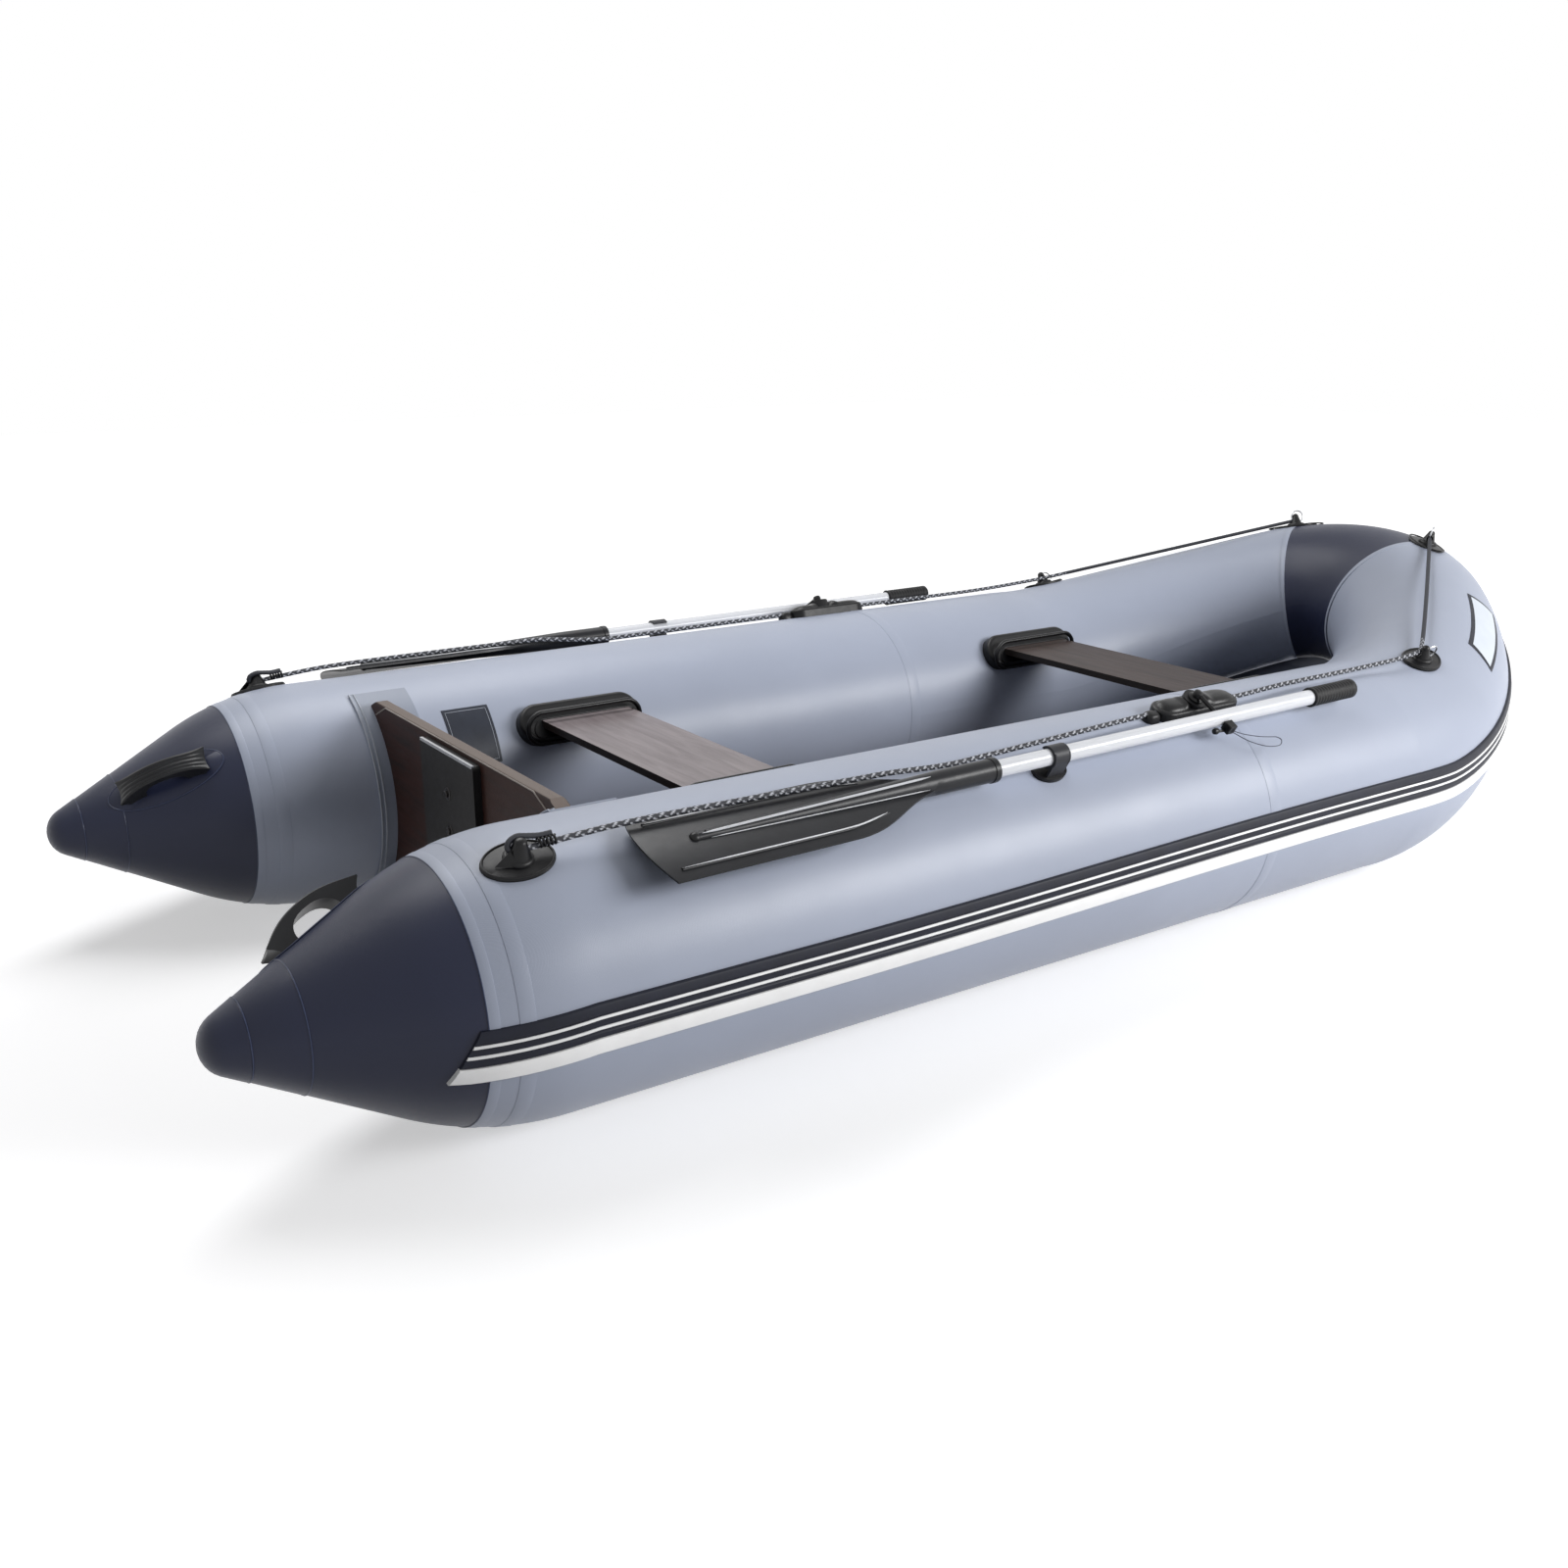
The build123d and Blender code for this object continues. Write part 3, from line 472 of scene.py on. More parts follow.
# ------------------------------------------------------------------ hull seams and strakes
for label, side in SIDES:
    turn = [360 * k / 144 for k in range(144)]
    stations = [0.0, 0.02, 0.04, 0.06, 0.08, 0.10, 0.12, SHOULDER_X, 0.20, 0.4, 0.7, 1.0, 1.25, PANEL_SEAM]
    o = skin(f"aft_tube_skin_{label}", [[on(d, a, 0.0, side) for a in turn] for d in stations], MAT["grey"],
             round_cols=True, caps=True)
    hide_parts(f"aft_tube_{label}")
    stations = [-CONE_L * k / 40 for k in range(38)] + [-0.2925, -0.297, -0.301, -0.305, -0.3085, -0.3112, -0.3127]
    stations = sorted(set(stations), reverse=True)
    o = skin(f"stern_cone_skin_{label}", [[on(d, a, 0.0, side) for a in turn] for d in stations], MAT["navy"],
             round_cols=True, caps=True)
    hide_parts(f"stern_cone_{label}")
    ring_strip(f"cone_weld_{label}", -0.002, 0.013, 0.0008, MAT["grey"], side)
    ring_strip(f"valve_panel_weld_{label}", 0.036, 0.058, 0.0007, MAT["grey"], side)
    ring_strip(f"mid_weld_{label}", PANEL_SEAM - 0.014, PANEL_SEAM + 0.014, 0.0007, MAT["grey"], side)
    ring_strip(f"cone_middle_band_{label}", -0.262, -0.197, 0.0010, MAT["navy"], side)
    nose = [-0.2605, -0.2607, -0.262, -0.270, -0.278, -0.285, -0.292, -0.298, -0.303, -0.3075, -0.311, -0.3127]
    lifts = [-0.0006, 0.0012] + [0.0020] * 10
    skin(f"cone_nose_cap_{label}", [[on(d, 3.75 * k, h, side) for d, h in zip(nose, lifts)] for k in range(96)],
         MAT["navy"], round_rows=True, sharp=30)
    # lighter navy lines on the seam edges: painted highlights
    for i, (d, h) in enumerate(((-0.1968, 0.0008), (-0.2604, 0.0014), (-0.0015, 0.0004))):
        cable(f"cone_edge_highlight_{i + 1}_{label}", [on(d, 3 * k, h, side) for k in range(120)], 0.0009,
              MAT["navy_edge_highlight"], sides=6, closed=True)
    ring_strip(f"bow_weld_{label}", BOW_SEAM_D - 0.013, BOW_SEAM_D + 0.002, 0.0008, MAT["grey"], side)


CUT = ((8.4, -0.012), (-11.5, -0.052))      # slanted aft end of the strakes: angle and station
CLIMB, SHOULDER_DIP = 4.1, 3.2              # degrees the strakes rise forward, and dip at the stern


def drift(d, angle):
    """Angle of a strake's line at d: it climbs going forward, and dips and spreads over the shoulder."""
    u = min(1.0, max(0.0, (d - 0.5) / 1.2))
    r = (cone_profile(d) if d < SHOULDER_X else TUBE_R) / TUBE_R
    middle = -0.1 + CLIMB * u * u * (3 - 2 * u) - SHOULDER_DIP * math.sqrt(min(1.0, (1 - r) / 0.15))
    return middle + (angle - 1.0) / r


def strake(name, profile, mat, *nodes):
    """Moulded strake round the whole hull. profile is (angle, lift) pairs from top to bottom."""
    slope = (CUT[1][1] - CUT[0][1]) / (CUT[1][0] - CUT[0][0])
    start = lambda a: CUT[0][1] + (a - CUT[0][0]) * slope      # station of the slanted end at an angle
    stations = [0.0, 0.02, 0.04, 0.06, 0.08, 0.10, 0.12, 0.14, 0.17, 0.2]
    stations += [0.2 + (STRAIGHT - 0.2) * k / 30 for k in range(1, 31)]
    stations += [STRAIGHT + (STEM_D - STRAIGHT) * k / 44 for k in range(1, 45)]
    rows = []
    for k in range(4):
        left = 1 - k / 4
        rows.append([on(start(a) * left, drift(start(a) * left, a), h) for a, h in profile])
    rows += [[on(d, drift(d, a), h) for a, h in profile] for d in stations]
    mirrored = [[Vector((p.x, -p.y, p.z)) for p in row] for row in reversed(rows[:-1])]
    o = skin(name, rows + mirrored, mat, caps=True, sharp=30)
    if nodes:
        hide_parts(*nodes)
    return o


strake("strake_dark_band", [(8.4, -0.001), (8.2, 0.0030), (7.7, 0.0048), (6.9, 0.0055), (4.7, 0.0058), (4.3, 0.0049),
                            (-2.4, 0.0049), (-2.8, 0.0058), (-4.5, 0.0058), (-4.9, 0.0040), (-5.0, -0.001)],
       MAT["strake"], "rub_strake")
strake("strake_white_band", [(-5.0, -0.001), (-5.15, 0.0056), (-5.7, 0.0068), (-8.3, 0.0072), (-10.8, 0.0068),
                             (-11.3, 0.0056), (-11.5, -0.001)], MAT["white"], "rub_strake_white")
w = 0.60                                     # half width of the fine lines, in degrees
for i, a in enumerate((2.9, -0.9)):
    strake(f"strake_white_line_{i + 1}", [(a + w, 0.0040), (a + w * 0.8, 0.0060), (a, 0.0066), (a - w * 0.8, 0.0060),
                                          (a - w, 0.0040)], MAT["white"])


# ------------------------------------------------------------------ grab line
EYES = {"stern": (0.098, 68.0), "bow_side": (2.140, 71.0), "bow_top": (2.750, 78.0)}
LINE_R = 0.0045
LIGHT_END = 0.60                             # the line has no light flecks on this last stretch
ROUTE = [(0.098, 68.0, 0.017), (0.190, 67.6, 0.0245), (0.247, 67.5, 0.0275), (0.330, 67.2, 0.029),
         (0.640, 65.2, 0.031), (0.700, 65.0, 0.0305), (0.750, 65.8, 0.0235), (0.830, 67.6, 0.011),
         (0.910, 68.7, 0.011),
         (1.250, 73.6, 0.011), (1.315, 74.4, 0.011), (1.533, 74.6, 0.011), (1.620, 76.2, 0.011),
         (1.690, 77.4, 0.011), (1.900, 77.5, 0.011)]


def line_points(side):
    """The line's smooth path: a quadratic spline along the route, then straight through the bow eyes."""
    curve = bpy.data.curves.new("route", "CURVE")
    curve.dimensions = "3D"
    spline = curve.splines.new("NURBS")
    pts = [on(d, a, h, side) for d, a, h in ROUTE]
    side_eye, top_eye = on(*EYES["bow_side"], 0.017, side), on(*EYES["bow_top"], 0.017, side)
    pts += [side_eye.lerp(pts[-1], 0.12), side_eye.lerp(top_eye, 0.05), top_eye]
    spline.points.add(len(pts) - 1)
    for q, v in zip(spline.points, pts):
        q.co = (*v, 1.0)
    spline.order_u, spline.use_endpoint_u, spline.resolution_u = 3, True, 24
    holder = bpy.data.objects.new("route", curve)
    mesh = bpy.data.meshes.new_from_object(holder)
    out = [v.co.copy() for v in mesh.vertices]
    bpy.data.objects.remove(holder)
    bpy.data.meshes.remove(mesh)
    return out


def evenly(points, pitch):
    """The polyline's points again, a fixed pitch apart."""
    out, need = [points[0]], pitch
    for a, b in zip(points, points[1:]):
        run = (b - a).length
        while need <= run:
            out.append(a.lerp(b, need / run))
            need += pitch
        need -= run
    return out + [points[-1]]


def braid(name, points, radius, flecks=None, carriers=6, lay=0.036, sides=18):
    """Braided rope: strands rise and dip over each other, with painted shade in the dips, and some are light between
    the two flecks.
    """
    dark, light = (0.012, 0.014, 0.022), (0.62, 0.64, 0.70)
    points = evenly(points, 0.0016)
    verts, cols, s = [], [], 0.0
    for i, (p, (t, u, v)) in enumerate(zip(points, frames_along(points))):
        s += (p - points[i - 1]).length if i else 0.0
        for k in range(sides):
            th = 2 * math.pi * k / sides
            a = carriers * (s / lay + th / (2 * math.pi))
            b = carriers * (s / lay - th / (2 * math.pi))
            top = (math.floor(a) + math.floor(b)) % 2 == 0
            x, y = (a % 1.0, b % 1.0) if top else (b % 1.0, a % 1.0)
            bulge = math.sin(math.pi * x) ** 0.7 * (0.55 + 0.45 * math.sin(math.pi * y))
            strand = math.floor(a) if top else math.floor(b)
            white = flecks and flecks[0] < s < flecks[1] and strand % 3 == 0 and bulge > 0.45
            r = radius * (0.86 + 0.14 * bulge)
            verts.append(p + (u * math.cos(th) + v * math.sin(th)) * r)
            # painted shade: the colour darkens in the dips between strands
            shadow = 0.55 + 0.45 * bulge
            cols.append([c * shadow for c in (light if white else dark)] + [1.0])
    n = len(points)
    faces = [(i * sides + k, i * sides + (k + 1) % sides, (i + 1) * sides + (k + 1) % sides, (i + 1) * sides + k)
             for i in range(n - 1) for k in range(sides)]
    faces += [tuple(range(sides)), tuple(range((n - 1) * sides, n * sides))]
    data = bpy.data.meshes.new(name)
    data.from_pydata([tuple(v) for v in verts], [], faces)
    data.shade_smooth()
    layer = data.color_attributes.new("strand", "FLOAT_COLOR", "POINT")
    layer.data.foreach_set("color", [c for col in cols for c in col])
    data.materials.append(MAT["rope"])
    o = bpy.data.objects.new(name, data)
    scene.collection.objects.link(o)
    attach(o, "root")
    return o


def eye_frame(d, angle, side):
    """Origin on the tube, forward, round-the-tube and outward directions of a fitting."""
    o = on(d, angle, 0.0, side)
    n = normal(d, angle, side)
    f = (on(d + 0.002, angle, 0.0, side) - o).normalized()
    return o, f, n.cross(f) * -side, n


def local(seat, x, y, z):
    """Point at x along, y round and z out of a seat, which is an origin and three directions."""
    o, f, r, n = seat
    return o + f * x + r * y + n * z


for label, side in SIDES:
    pts = line_points(side)
    length = sum((b - a).length for a, b in zip(pts, pts[1:]))
    rope = braid(f"braided_line_{label}", pts, LINE_R, flecks=(0.0, length - LIGHT_END))
    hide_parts(f"grab_line_{label}")
    for eye, (d, angle) in EYES.items():
        f = eye_frame(d, angle, side)
        rim = [on(d + 0.0495 * math.cos(a), angle + math.degrees(0.0355 * math.sin(a) / TUBE_R), 0.0042, side)
               for a in (2 * math.pi * k / 72 for k in range(72))]
        cable(f"{eye}_pad_rim_{label}", rim, 0.0017, MAT["rubber"], sides=8, closed=True)
        lathe(f"{eye}_horn_collar_{label}", [(0.0215, 0.003), (0.0212, 0.0062), (0.0192, 0.0086), (0.0165, 0.0094)],
              local(f, 0, 0, 0), f[3], MAT["rubber"])
    # the stern eye, seated on the shoulder
    d0, a0 = EYES["stern"]
    rings = [[on(d0 + 0.052 * k * math.cos(t), a0 + math.degrees(0.038 * k * math.sin(t) / tube_radius(d0)), h, side)
              for t in (2 * math.pi * j / 72 for j in range(72))]
             for k, h in ((1.0, -0.0008), (1.0, 0.0028), (0.975, 0.0040), (0.6, 0.0041), (0.06, 0.0042))]
    o = skin(f"stern_eye_pad_{label}", rings, MAT["rubber"], round_cols=True, caps=True)
    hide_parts(f"stern_line_fitting_{label}")
    f = eye_frame(d0, a0, side)
    lathe(f"stern_eye_horn_{label}", [(0.0190, 0.002), (0.0180, 0.007), (0.0158, 0.012), (0.0132, 0.0185),
                                      (0.0108, 0.0245), (0.0092, 0.0290), (0.0082, 0.0320), (0.0060, 0.0342),
                                      (0.0020, 0.0352)],
          local(f, 0, 0, 0), f[3], MAT["swivel"], sides=32)
    # the line's end: through the horn, back over its inboard side and whipped to itself ahead of it
    over = [local(f, *q) for q in ((0.004, 0.0, 0.0175), (-0.010, 0.001, 0.0175), (-0.0150, 0.0045, 0.0205),
                                   (-0.0125, 0.0090, 0.0275), (-0.001, 0.0120, 0.0310), (0.012, 0.0100, 0.0295),
                                   (0.030, 0.0070, 0.0270), (0.047, 0.0055, 0.0275))]
    braid(f"stern_loop_{label}", smooth_line(over, 6), 0.0043)
    a, b = on(0.124, 67.9, 0.0215, side), on(0.150, 67.8, 0.0235, side)
    t = (b - a).normalized()
    u = t.orthogonal().normalized()
    w = t.cross(u)
    turns, radius = 5, 0.0062
    coil = []
    for k in range(73):
        th = k / 72 * turns * 2 * math.pi
        coil.append(a.lerp(b, k / 72) + (u * math.cos(th) + w * math.sin(th)) * radius)
    cable(f"stern_whipping_{label}", coil, 0.0018, MAT["swivel"], sides=8)
    # a thin web behind the horn
    fin = [(-0.036, -0.006, 0.0045), (-0.0150, -0.0030, 0.0225), (-0.0050, -0.0190, 0.0045)]
    rows = [[local(f, x + dx, y + dy, z) for x, y, z in fin] for dx, dy in ((-0.0007, -0.0007), (0.0012, 0.0012))]
    skin(f"stern_horn_fin_{label}", rows, MAT["rubber"], round_cols=True, caps=True)


# ------------------------------------------------------------------ carry handles on the stern cones
def cone_seat(d, angle, side):
    """Origin on the cone, along it, round it toward the top and square out of it."""
    o = on(d, angle, 0.0, side)
    f = (on(d + 0.003, angle, 0.0, side) - on(d - 0.003, angle, 0.0, side)).normalized()
    c = (on(d, angle - 0.5, 0.0, side) - o).normalized()
    n = f.cross(c).normalized()
    return o, f, c, n if n.dot(normal(d, angle, side)) > 0 else -n


HANDLE = (-0.122, 134.0)                    # middle of the carry handle: station and angle
HANDLE_HALF, HANDLE_WIDE, RIBS = 0.078, 0.0175, 5
OPENING, FOOT_END = 0.5, 0.86               # the opening's and the solid foot's ends, as shares of the half length
half_steps = [0.0, 0.1, 0.2, 0.3, 0.38, 0.43, 0.46, 0.48, 0.495, 0.5, 0.505, 0.55,
              0.65, 0.75, 0.84, 0.86, 0.88, 0.90, 0.92, 0.94, 0.96, 0.98, 1.0]
steps = sorted({round(v * q, 4) for v in (-1, 1) for q in half_steps})
across = [-1 + j / 14 for j in range(29)]
for label, side in SIDES:
    f = cone_seat(*HANDLE, side)

    def at(x, y, h):
        """Point over the cone at x along it and y round it from the handle's middle."""
        d = HANDLE[0] + x * 0.88
        return on(d, HANDLE[1] - math.degrees(y / cone_profile(d)), h, side)

    outline = [(0.106 * math.cos(t), 0.041 * math.sin(t)) for t in (2 * math.pi * k / 96 for k in range(96))]
    rings = [[at(x * k, y * k, h) for x, y in outline]
             for k, h in ((1.0, -0.0012), (1.0, 0.0012), (0.975, 0.0024), (0.6, 0.0026), (0.2, 0.0027))]
    skin(f"handle_patch_{label}", rings, MAT["navy"], round_cols=True, caps=True, sharp=35)
    # the patch's lighter edge line is a painted highlight
    cable(f"handle_patch_edge_highlight_{label}", [at(x, y, 0.0014) for x, y in outline], 0.0011, MAT["navy_edge_highlight"],
          sides=6, closed=True)
    rows = []
    for q in steps:
        e = abs(q)
        top = 0.0175 + 0.0225 * (1 - e ** 2.2)
        if e < OPENING:
            low = 0.0275 * (1 - (e / OPENING) ** 2.6) ** 0.5
        elif e <= FOOT_END:
            low = -0.001
        else:
            low = -0.001 + 0.0150 * ((e - FOOT_END) / (1 - FOOT_END)) ** 0.7
        half = HANDLE_WIDE + 0.0065 * e ** 5
        row = []
        for v in across:
            rib = 0.0009 * math.cos(v * RIBS * math.pi) * (1 - e ** 8) if abs(v) < 0.93 else -0.0012
            x = q * HANDLE_HALF * (1 + 0.05 * v * v * e ** 6)
            row.append(local(f, x, v * half, top + rib - 0.0022 * e ** 6 * (1 - v * v)))
        for v in across[::-2]:
            x = q * HANDLE_HALF * (1 + 0.05 * v * v * e ** 6)
            row.append(local(f, x, v * half * 0.98, low - (0.004 if low < 0 else 0.0)))
        rows.append(row)
    handle = skin(f"ribbed_handle_{label}", rows, MAT["handle"], round_cols=True, caps=True, sharp=24)
    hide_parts(f"carry_handle_{label}")


# ------------------------------------------------------------------ transom and its holders
pad_low, pad_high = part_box("transom_motor_pad")
board_low, board_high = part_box("transom")


def bolt(name, at, axis, r=0.0065):
    """Hexagon bolt head on a washer."""
    axis = Vector(axis)
    lathe(f"{name}_washer", [(r * 1.75, -0.0004), (r * 1.75, 0.0008), (r * 1.6, 0.0013), (r * 1.05, 0.0014)],
          at, axis, MAT["bolt"])
    u = axis.orthogonal().normalized()
    w = axis.cross(u)
    hexagon = lambda k, h: [at + axis * h + (u * math.cos(a) + w * math.sin(a)) * r * k
                            for a in (math.pi * j / 3 for j in range(6))]
    skin(f"{name}_head", [hexagon(1.0, 0.0012), hexagon(1.0, 0.0046), hexagon(0.86, 0.0056), hexagon(0.5, 0.0057)],
         MAT["bolt"], round_cols=True, caps=True, sharp=20)


for i, z in enumerate((0.320, 0.254)):
    bolt(f"motor_pad_bolt_{i + 1}", Vector((pad_low.x, 0, z)), (-1, 0, 0))
    bolt(f"inner_pad_bolt_{i + 1}", Vector((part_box("transom_inner_pad")[1].x, 0, z)), (1, 0, 0))
x0, x1 = pad_low.x - 0.0008, pad_low.x + 0.004
z0, z1 = pad_high.z - 0.0045, pad_high.z + 0.0006
strip = [[Vector((x, y, z)) for x, z in ((x0, z0), (x1, z0), (x1, z1), (x0, z1))]
         for y in (pad_low.y + 0.003, pad_high.y - 0.003)]
skin("motor_pad_top_strip", strip, MAT["bead"], round_cols=True, caps=True)
TOP_HALF, CHAMFER_Y, CHAMFER_Z = 0.363, 0.052, 0.024        # the board's top edge and its cut corners
# pale line along the board's top edge and cut corners: a painted highlight on the bevel
edge = [Vector((board_low.x - 0.0004, y, z)) for y, z in
        ((-TOP_HALF, board_high.z - CHAMFER_Z), (-TOP_HALF + CHAMFER_Y, board_high.z - 0.0015),
         (TOP_HALF - CHAMFER_Y, board_high.z - 0.0015), (TOP_HALF, board_high.z - CHAMFER_Z))]
cable("transom_bevel_highlight_line", [p for a, b in zip(edge, edge[1:]) for p in (a, a.lerp(b, 0.5))] + [edge[-1]], 0.0013,
      MAT["edge"], sides=6)
for label, side in SIDES:
    for i, d in enumerate((0.2205, 0.2290)):
        cable(f"holder_bead_{i + 1}_{label}", [on(d, 112.5 + 115 * k / 60, 0.0036, side) for k in range(61)], 0.0017,
              MAT["welt"], sides=8)


# ------------------------------------------------------------------ blank plates
BOW_PATCH = [(2.530, 60.0), (2.320, 54.0), (2.300, 37.5), (2.535, 39.0)]      # its corners: station and angle
BOW_QUARTER_R = 0.19                        # tube radius at the patch


def on_patch(name, corners, lift, mat, side, cells=12):
    """Thin four-cornered patch that follows the tube; corners are (d, angle)."""
    rows = []
    for i in range(cells + 1):
        row = []
        for j in range(cells + 1):
            u, v = i / cells, j / cells
            weights = ((1 - u) * (1 - v), u * (1 - v), u * v, (1 - u) * v)
            d = sum(w * c[0] for w, c in zip(weights, corners))
            a = sum(w * c[1] for w, c in zip(weights, corners))
            row.append(on(d, a, lift, side))
        rows.append(row)
    return skin(name, rows, mat, sharp=60)


def grown(corners, by):
    """The corners moved outward from their middle, by metres each way on the bow's tube."""
    md = sum(c[0] for c in corners) / 4
    ma = sum(c[1] for c in corners) / 4
    turn = math.degrees(by / BOW_QUARTER_R)
    return [(d + math.copysign(by, d - md), a + math.copysign(turn, a - ma)) for d, a in corners]


# the bow patch is on the starboard side only, the one that the photograph shows
on_patch("bow_patch_frame_starboard", grown(BOW_PATCH, 0.009), 0.0008, MAT["strake"], -1)
on_patch("bow_patch_blank_starboard", BOW_PATCH, 0.0012, MAT["patch"], -1)
# a fine line just inside the blank plate's edge
PLATE_D, PLATE_A, HALF_D, HALF_A = 0.423, 148.0, 0.047, math.degrees(0.059 / TUBE_R)
corners = [(PLATE_D + x * (HALF_D - 0.006), PLATE_A + y * (HALF_A - 1.7))
           for x, y in ((-1, -1), (1, -1), (1, 1), (-1, 1))]
path = []
for (d0, a0), (d1, a1) in zip(corners, corners[1:] + corners[:1]):
    path += [on(d0 + (d1 - d0) * k / 12, a0 + (a1 - a0) * k / 12, 0.0010, 1) for k in range(12)]
cable("plate_frame_line", path, 0.0006, MAT["welt"], sides=6, closed=True)


# ------------------------------------------------------------------ thwart sockets
def slot_path(which, inset, out):
    """Closed line round the mouth of a socket, set in from its outline and out of its face."""
    lo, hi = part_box(f"thwart_socket_{which}")
    port = which.endswith("_port")
    face, inward = (lo.y, -1) if port else (hi.y, 1)
    middle = Vector(((lo.x + hi.x) / 2, face + inward * out, (lo.z + hi.z) / 2))
    run, r = (hi.x - lo.x) / 2, (hi.z - lo.z) / 2
    ends = []
    for k in range(48):
        forward = k <= 24
        a = -math.pi / 2 + math.pi * k / 24 if forward else math.pi / 2 + math.pi * (k - 24) / 24
        x = (run - r) * (1 if forward else -1)
        ends.append(middle + Vector((x + (r - inset) * math.cos(a), 0, (r - inset) * math.sin(a))))
    return ends


for which in ("aft_starboard", "aft_port", "forward_starboard", "forward_port"):
    cable(f"socket_rim_{which}", slot_path(which, 0.0085, -0.0035), 0.0048, MAT["swivel"], closed=True)
    cable(f"socket_groove_bead_{which}", slot_path(which, 0.021, -0.0006), 0.0014, MAT["rubber"],
          sides=8, closed=True)


# ------------------------------------------------------------------ bow eyes' rings
def ring(name, seat, middle, axis_local, radius, wire, mat, body="root"):
    """Wire ring; its middle and axis are given in the seat's own directions."""
    _, f, r, n = seat
    axis = (f * axis_local[0] + r * axis_local[1] + n * axis_local[2]).normalized()
    u = (n - axis * n.dot(axis)).normalized()
    w = axis.cross(u)
    c = local(seat, *middle)
    cable(name, [c + u * math.cos(a) * radius + w * math.sin(a) * radius
                 for a in (2 * math.pi * k / 40 for k in range(40))], wire, mat, body, sides=8, closed=True)


for label, side in SIDES:
    f = eye_frame(*EYES["bow_side"], side)
    ring(f"side_eye_ring_{label}", f, (0.018, -0.006, 0.0165), (0.35, 0.9, 0.2), 0.0150, 0.0017, MAT["steel"])
    f = eye_frame(*EYES["bow_top"], side)
    ring(f"top_eye_ring_{label}", f, (0.004, -0.002, 0.0265), (0.5, 0.8, 0.0), 0.0150, 0.0018, MAT["steel"])


# ------------------------------------------------------------------ rowlocks and oars
PIVOT, PIVOT_OFFSET = 1.413, 0.062          # the rowlock's station, and how far inboard of the shaft it stands
OAR_ANGLE, OAR_HEIGHT = 57.9, 0.033         # round the tube at the rowlock, and the shaft's axis over it
CLIP, SLEEVE_END, GRIP = 1.012, 0.878, 1.660            # stations along the shaft
SLEEVE_R, SPINE_TIP_R, CLIP_R = 0.019, 0.0075, 0.0180
SPINE_START, SPINE_RUN = 0.330, 0.440       # where the blade's spine starts, and over what it widens
BLADE_TILT = math.radians(-15)


def oar_frame(side, tilt=0.0, turn=math.radians(0.9)):
    """Shaft axis at the rowlock: toward the grip, inboard over the tube and out; tilt turns it about the shaft."""
    o, f, r, n = eye_frame(PIVOT, OAR_ANGLE, side)
    o = o + n * OAR_HEIGHT
    f, r = f * math.cos(turn) + r * math.sin(turn), r * math.cos(turn) - f * math.sin(turn)
    r, n = r * math.cos(tilt) + n * math.sin(tilt), n * math.cos(tilt) - r * math.sin(tilt)
    return o, f, r, n


def spine_r(x):
    """Radius of the round spine along the blade, which widens toward the sleeve."""
    return SPINE_TIP_R + (SLEEVE_R - SPINE_TIP_R) * max(0.0, x - SPINE_START) / SPINE_RUN


def pebble(name, d, angle, half_length, half_width, height, mat, side, rise=0.0, near=1, power=2.6):
    """Low rounded cushion of rubber that sits on the tube, raised at the end near the pivot."""
    f = eye_frame(d, angle, side)
    rows = []
    for i in range(15):
        t = i / 14
        k = math.cos(t * math.pi / 2) ** 0.55 if i < 14 else 0.02
        z = height * math.sin(t * math.pi / 2) ** 0.8
        row = []
        for j in range(56):
            a = 2 * math.pi * j / 56
            c, q = math.cos(a), math.sin(a)
            m = (abs(c) ** power + abs(q) ** power) ** (-1 / power)
            x, y = half_length * k * c * m, half_width * k * q * m
            w = min(1.0, max(0.0, (x * near - 0.30 * half_length) / 0.018))
            top = z * (1 + rise * w * w * (3 - 2 * w)) - (0.004 if i == 0 else 0.0)
            row.append(local(f, x, y, top - y * y / (2 * TUBE_R)))
        rows.append(row)
    return skin(name, rows, mat, round_cols=True, caps=True, sharp=50)


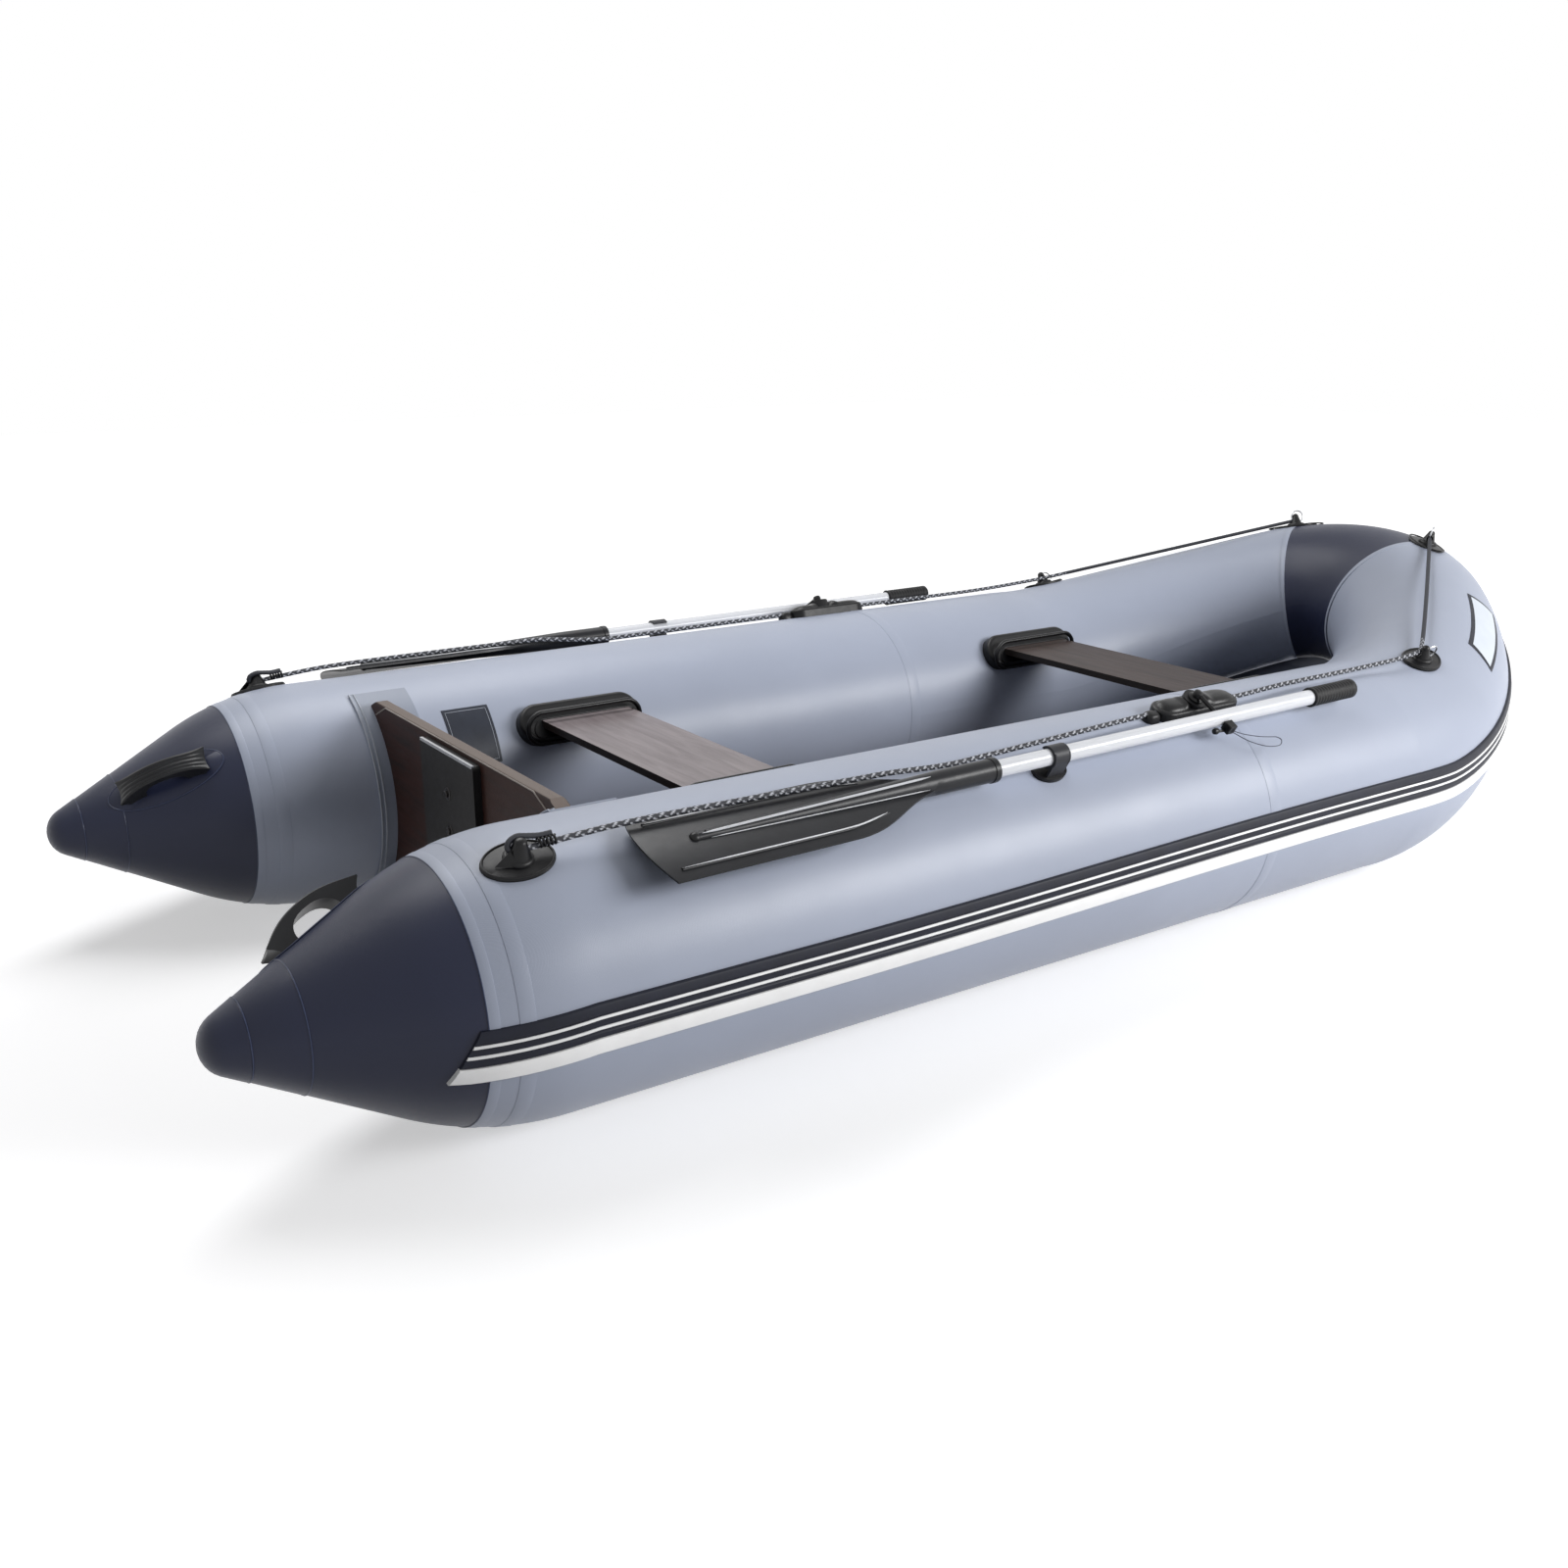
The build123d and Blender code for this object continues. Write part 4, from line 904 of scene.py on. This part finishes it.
for label, side in SIDES:
    pebble(f"rowlock_pad_aft_{label}", 1.366, 74.7, 0.0375, 0.0265, 0.0268, MAT["swivel"], side, rise=0.24)
    pebble(f"rowlock_pad_fore_{label}", 1.473, 74.9, 0.0525, 0.0265, 0.0268, MAT["swivel"], side, rise=0.24, near=-1)
    pebble(f"rowlock_heel_{label}", 1.312, 73.4, 0.017, 0.0140, 0.0165, MAT["rubber"], side)
    body = f"oar_{label}"
    f = oar_frame(side)
    post = lathe(f"rowlock_post_{label}", [(0.0085, -0.0175), (0.0140, -0.0120), (0.0140, -0.0085), (0.0088, -0.0060),
                                           (0.0088, 0.0010), (0.0075, 0.0038), (0.0045, 0.0052), (0.0010, 0.0055)],
                 local(f, 0, PIVOT_OFFSET, 0), f[3], MAT["swivel"], body)
    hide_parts(f"rowlock_swivel_{label}")
    cable(f"rowlock_pin_{label}", [local(f, 0, PIVOT_OFFSET - 0.095 * k / 12, 0) for k in range(13)], 0.0040,
          MAT["swivel"], body, sides=14)
    # the retaining block on the pin's outer end: a cube with cut corners
    h, c = 0.0090, 0.0078
    cube = []
    for z, k in ((-h, 0.86), (-c, 1.0), (c, 1.0), (h, 0.86)):
        cube.append([local(f, z, -0.0240 + y * k, x * k) for x, y in
                     ((-h, -c), (-c, -h), (c, -h), (h, -c), (h, c), (c, h), (-c, h), (-h, c))])
    skin(f"pin_block_{label}", cube, MAT["swivel"], body, round_cols=True, caps=True, sharp=30)
    arm = [(-0.002, -0.024, -0.0060), (-0.010, -0.0235, -0.0068), (-0.018, -0.022, -0.0074),
           (-0.024, -0.0205, -0.0076)]
    cable(f"pin_keeper_arm_{label}", smooth_line([local(f, *q) for q in arm], 5), 0.0026, MAT["swivel"], body,
          sides=8)
    knob = [(0.0015, -0.006), (0.0050, -0.0045), (0.0062, 0), (0.0050, 0.0045), (0.0015, 0.006)]
    lathe(f"pin_keeper_knob_{label}", knob, local(f, -0.026, -0.0205, -0.0076), f[1], MAT["swivel"], body,
          sides=16)
    if side < 0:      # the photograph shows the cord on this side only
        loop = [(0.006, -0.030, -0.004), (0.030, -0.040, -0.008), (0.062, -0.050, -0.011), (0.088, -0.056, -0.012),
                (0.103, -0.060, -0.0120), (0.108, -0.068, -0.0130), (0.096, -0.076, -0.0150),
                (0.066, -0.072, -0.0145), (0.034, -0.056, -0.0115), (0.012, -0.038, -0.007), (0.005, -0.032, -0.005)]
        cable(f"keeper_loop_{label}", smooth_line([local(f, *q) for q in loop], 7), 0.0009, MAT["cord"], body,
              sides=6)
    # sleeve and grip
    lathe(f"sleeve_end_ring_{label}", [(0.0188, -0.010), (0.0204, -0.009), (0.0207, -0.004), (0.0204, 0.0008),
                                       (0.0190, 0.0018), (0.0142, 0.0020)],
          local(f, SLEEVE_END - PIVOT, 0, 0), f[1], MAT["oar_black"], body, 36)
    rings = [(0.0143, -0.0016), (0.0176, -0.0014), (0.0186, 0.0)]
    for k in range(13):
        z = 0.004 + 0.0082 * k
        rings += [(0.0180, z), (0.0170, z + 0.0016), (0.0170, z + 0.0034), (0.0180, z + 0.0050)]
    rings += [(0.0182, 0.112), (0.0181, 0.1180), (0.0160, 0.1206), (0.0080, 0.1212), (0.0010, 0.1213)]
    grip = lathe(f"ribbed_grip_{label}", rings, local(f, GRIP - PIVOT, 0, 0), f[1], MAT["grip"], body, 36)
    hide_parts(f"oar_grip_{label}")
    # blade: painted highlight lines along the crests of its beads and along its spine's crest and root
    f = oar_frame(side, BLADE_TILT)
    line = [(0.282, 0.055), (0.40, 0.055), (0.50, 0.055), (0.555, 0.0546), (0.590, 0.0515), (0.636, 0.0412)]
    for i, way in enumerate((1, -1)):
        pts = smooth_line([local(f, x - PIVOT, way * y, 0.0) for x, y in line], 10)
        count = len(pts)
        radii = [0.0013 * min(1.0, 0.25 + 6 * min(k, count - 1 - k) / count) for k in range(count)]
        cable(f"blade_bead_highlight_{i + 1}_{label}", pts, radii, MAT["bead"], body, sides=8)
    # painted highlights: a wide line on the spine's crest and a thin one along its root
    for name, turn, x0, x1, w in (("crest", 104, 0.340, 0.742, 0.0021), ("root", 168, 0.352, 0.735, 0.0009)):
        rows = []
        for k in range(41):
            x = x0 + (x1 - x0) * k / 40
            fade = min(1.0, 14 * min(k, 40 - k) / 40 + 0.2)
            row = []
            for q in (-1, -0.5, 0, 0.5, 1):
                r = spine_r(x) + 0.0005 - 0.0004 * abs(q)
                a = math.radians(turn) + q * w * fade / r
                row.append(local(f, x - PIVOT, r * math.cos(a), r * math.sin(a)))
            rows.append(row)
        skin(f"spine_{name}_line_{label}", rows, MAT["bead"], body, sharp=60)
    cap = [(0.0078, 0.004), (0.0086, 0.002), (0.0086, -0.003), (0.0060, -0.0065), (0.0010, -0.0078)]
    lathe(f"spine_end_cap_{label}", cap, local(f, SPINE_START - PIVOT, 0, 0), f[1], MAT["swivel"], body)
    ring(f"spine_hole_rim_{label}", f, (0.346 - PIVOT, 0.0, 0.0080), (0.0, 0.0, 1.0), 0.0026, 0.0009,
         MAT["swivel"], body)
    # the clip's rolled edges
    f = oar_frame(side)
    for i, x in enumerate((-0.0155, 0.0155)):
        arc = []
        for k in range(25):
            a = math.radians(120 + 150 * k / 24)
            arc.append(local(f, CLIP - PIVOT + x, CLIP_R * math.cos(a), CLIP_R * math.sin(a)))
        cable(f"clip_rolled_edge_{i + 1}_{label}", arc, 0.0017, MAT["rubber_soft"], sides=8)


# ------------------------------------------------------------------ camera, light and floor
camera = bpy.data.cameras.new("camera")
camera.lens, camera.sensor_width = 35.33, 36.0      # fitted with the place to the tubes' seams and outlines
camera_object = bpy.data.objects.new("camera", camera)
camera_object.location = (SEAM_X - 0.6905, -2.3594, 1.0903)
camera_object.rotation_euler = (math.radians(73.052), 0, math.radians(-34.331))
scene.collection.objects.link(camera_object)
scene.camera = camera_object


def lamp(name, at, to, size, watts):
    """Area lamp at one point that faces another."""
    data = bpy.data.lights.new(name, "AREA")
    data.shape, data.energy = "RECTANGLE", watts
    data.size, data.size_y = size
    o = bpy.data.objects.new(name, data)
    o.location = at
    o.rotation_euler = (Vector(to) - Vector(at)).to_track_quat("-Z", "Y").to_euler()
    scene.collection.objects.link(o)


lamp("key", (2.4, -3.9, 2.0), (0.1, 0, 0.2), (3.0, 1.5), 208)
lamp("top", (-0.6, 1.3, 3.2), (-0.2, 0, 0.2), (3.2, 1.6), 80)

world = bpy.data.worlds.new("world")
scene.world = world
world.use_nodes = True


def unlit(t, low, high):
    """low for the light that falls on things, high for what the camera, glass and gloss see."""
    path = t.nodes.new("ShaderNodeLightPath")
    total = None
    for ray in ("Is Camera Ray", "Is Glossy Ray", "Is Transmission Ray"):
        if total is None:
            total = path.outputs[ray]
            continue
        total = maths(t, "MAXIMUM", total, path.outputs[ray])
    return scaled(t, total, low, high)


AMBIENT = 0.14
wt = world.node_tree
back = wt.nodes["Background"]
back.inputs["Color"].default_value = (1, 1, 1, 1)
link(wt, unlit(wt, AMBIENT, 1.0), back.inputs["Strength"])

floor_data = bpy.data.meshes.new("studio_floor")
floor_data.from_pydata([(-14, -14, 0), (14, -14, 0), (14, 14, 0), (-14, 14, 0)], [], [(0, 1, 2, 3)])
floor = bpy.data.objects.new("studio_floor", floor_data)
floor.location.z = -0.0005
scene.collection.objects.link(floor)
# only the camera, glass and gloss see the floor's glow, which rises outward to the background's white
fm, ft, fp = nodes_of("studio_floor")
fp.inputs["Base Color"].default_value = (0.74, 0.74, 0.75, 1)
fp.inputs["Roughness"].default_value = 0.9
fp.inputs["Specular IOR Level"].default_value = 0.1
fp.inputs["Emission Color"].default_value = (1, 1, 1, 1)
away = ft.nodes.new("ShaderNodeVectorMath")
away.operation = "LENGTH"
link(ft, coords(ft), away.inputs[0])
reach = ft.nodes.new("ShaderNodeMapRange")
reach.inputs["From Min"].default_value, reach.inputs["From Max"].default_value = 1.6, 5.0
reach.inputs["To Min"].default_value, reach.inputs["To Max"].default_value = 0.5, 1.0
link(ft, away.outputs["Value"], reach.inputs["Value"])
glow = maths(ft, "MULTIPLY", unlit(ft, 0.0, 1.0), reach.outputs["Result"])
link(ft, glow, fp.inputs["Emission Strength"])
floor_data.materials.append(fm)

scene.view_settings.view_transform = "Standard"
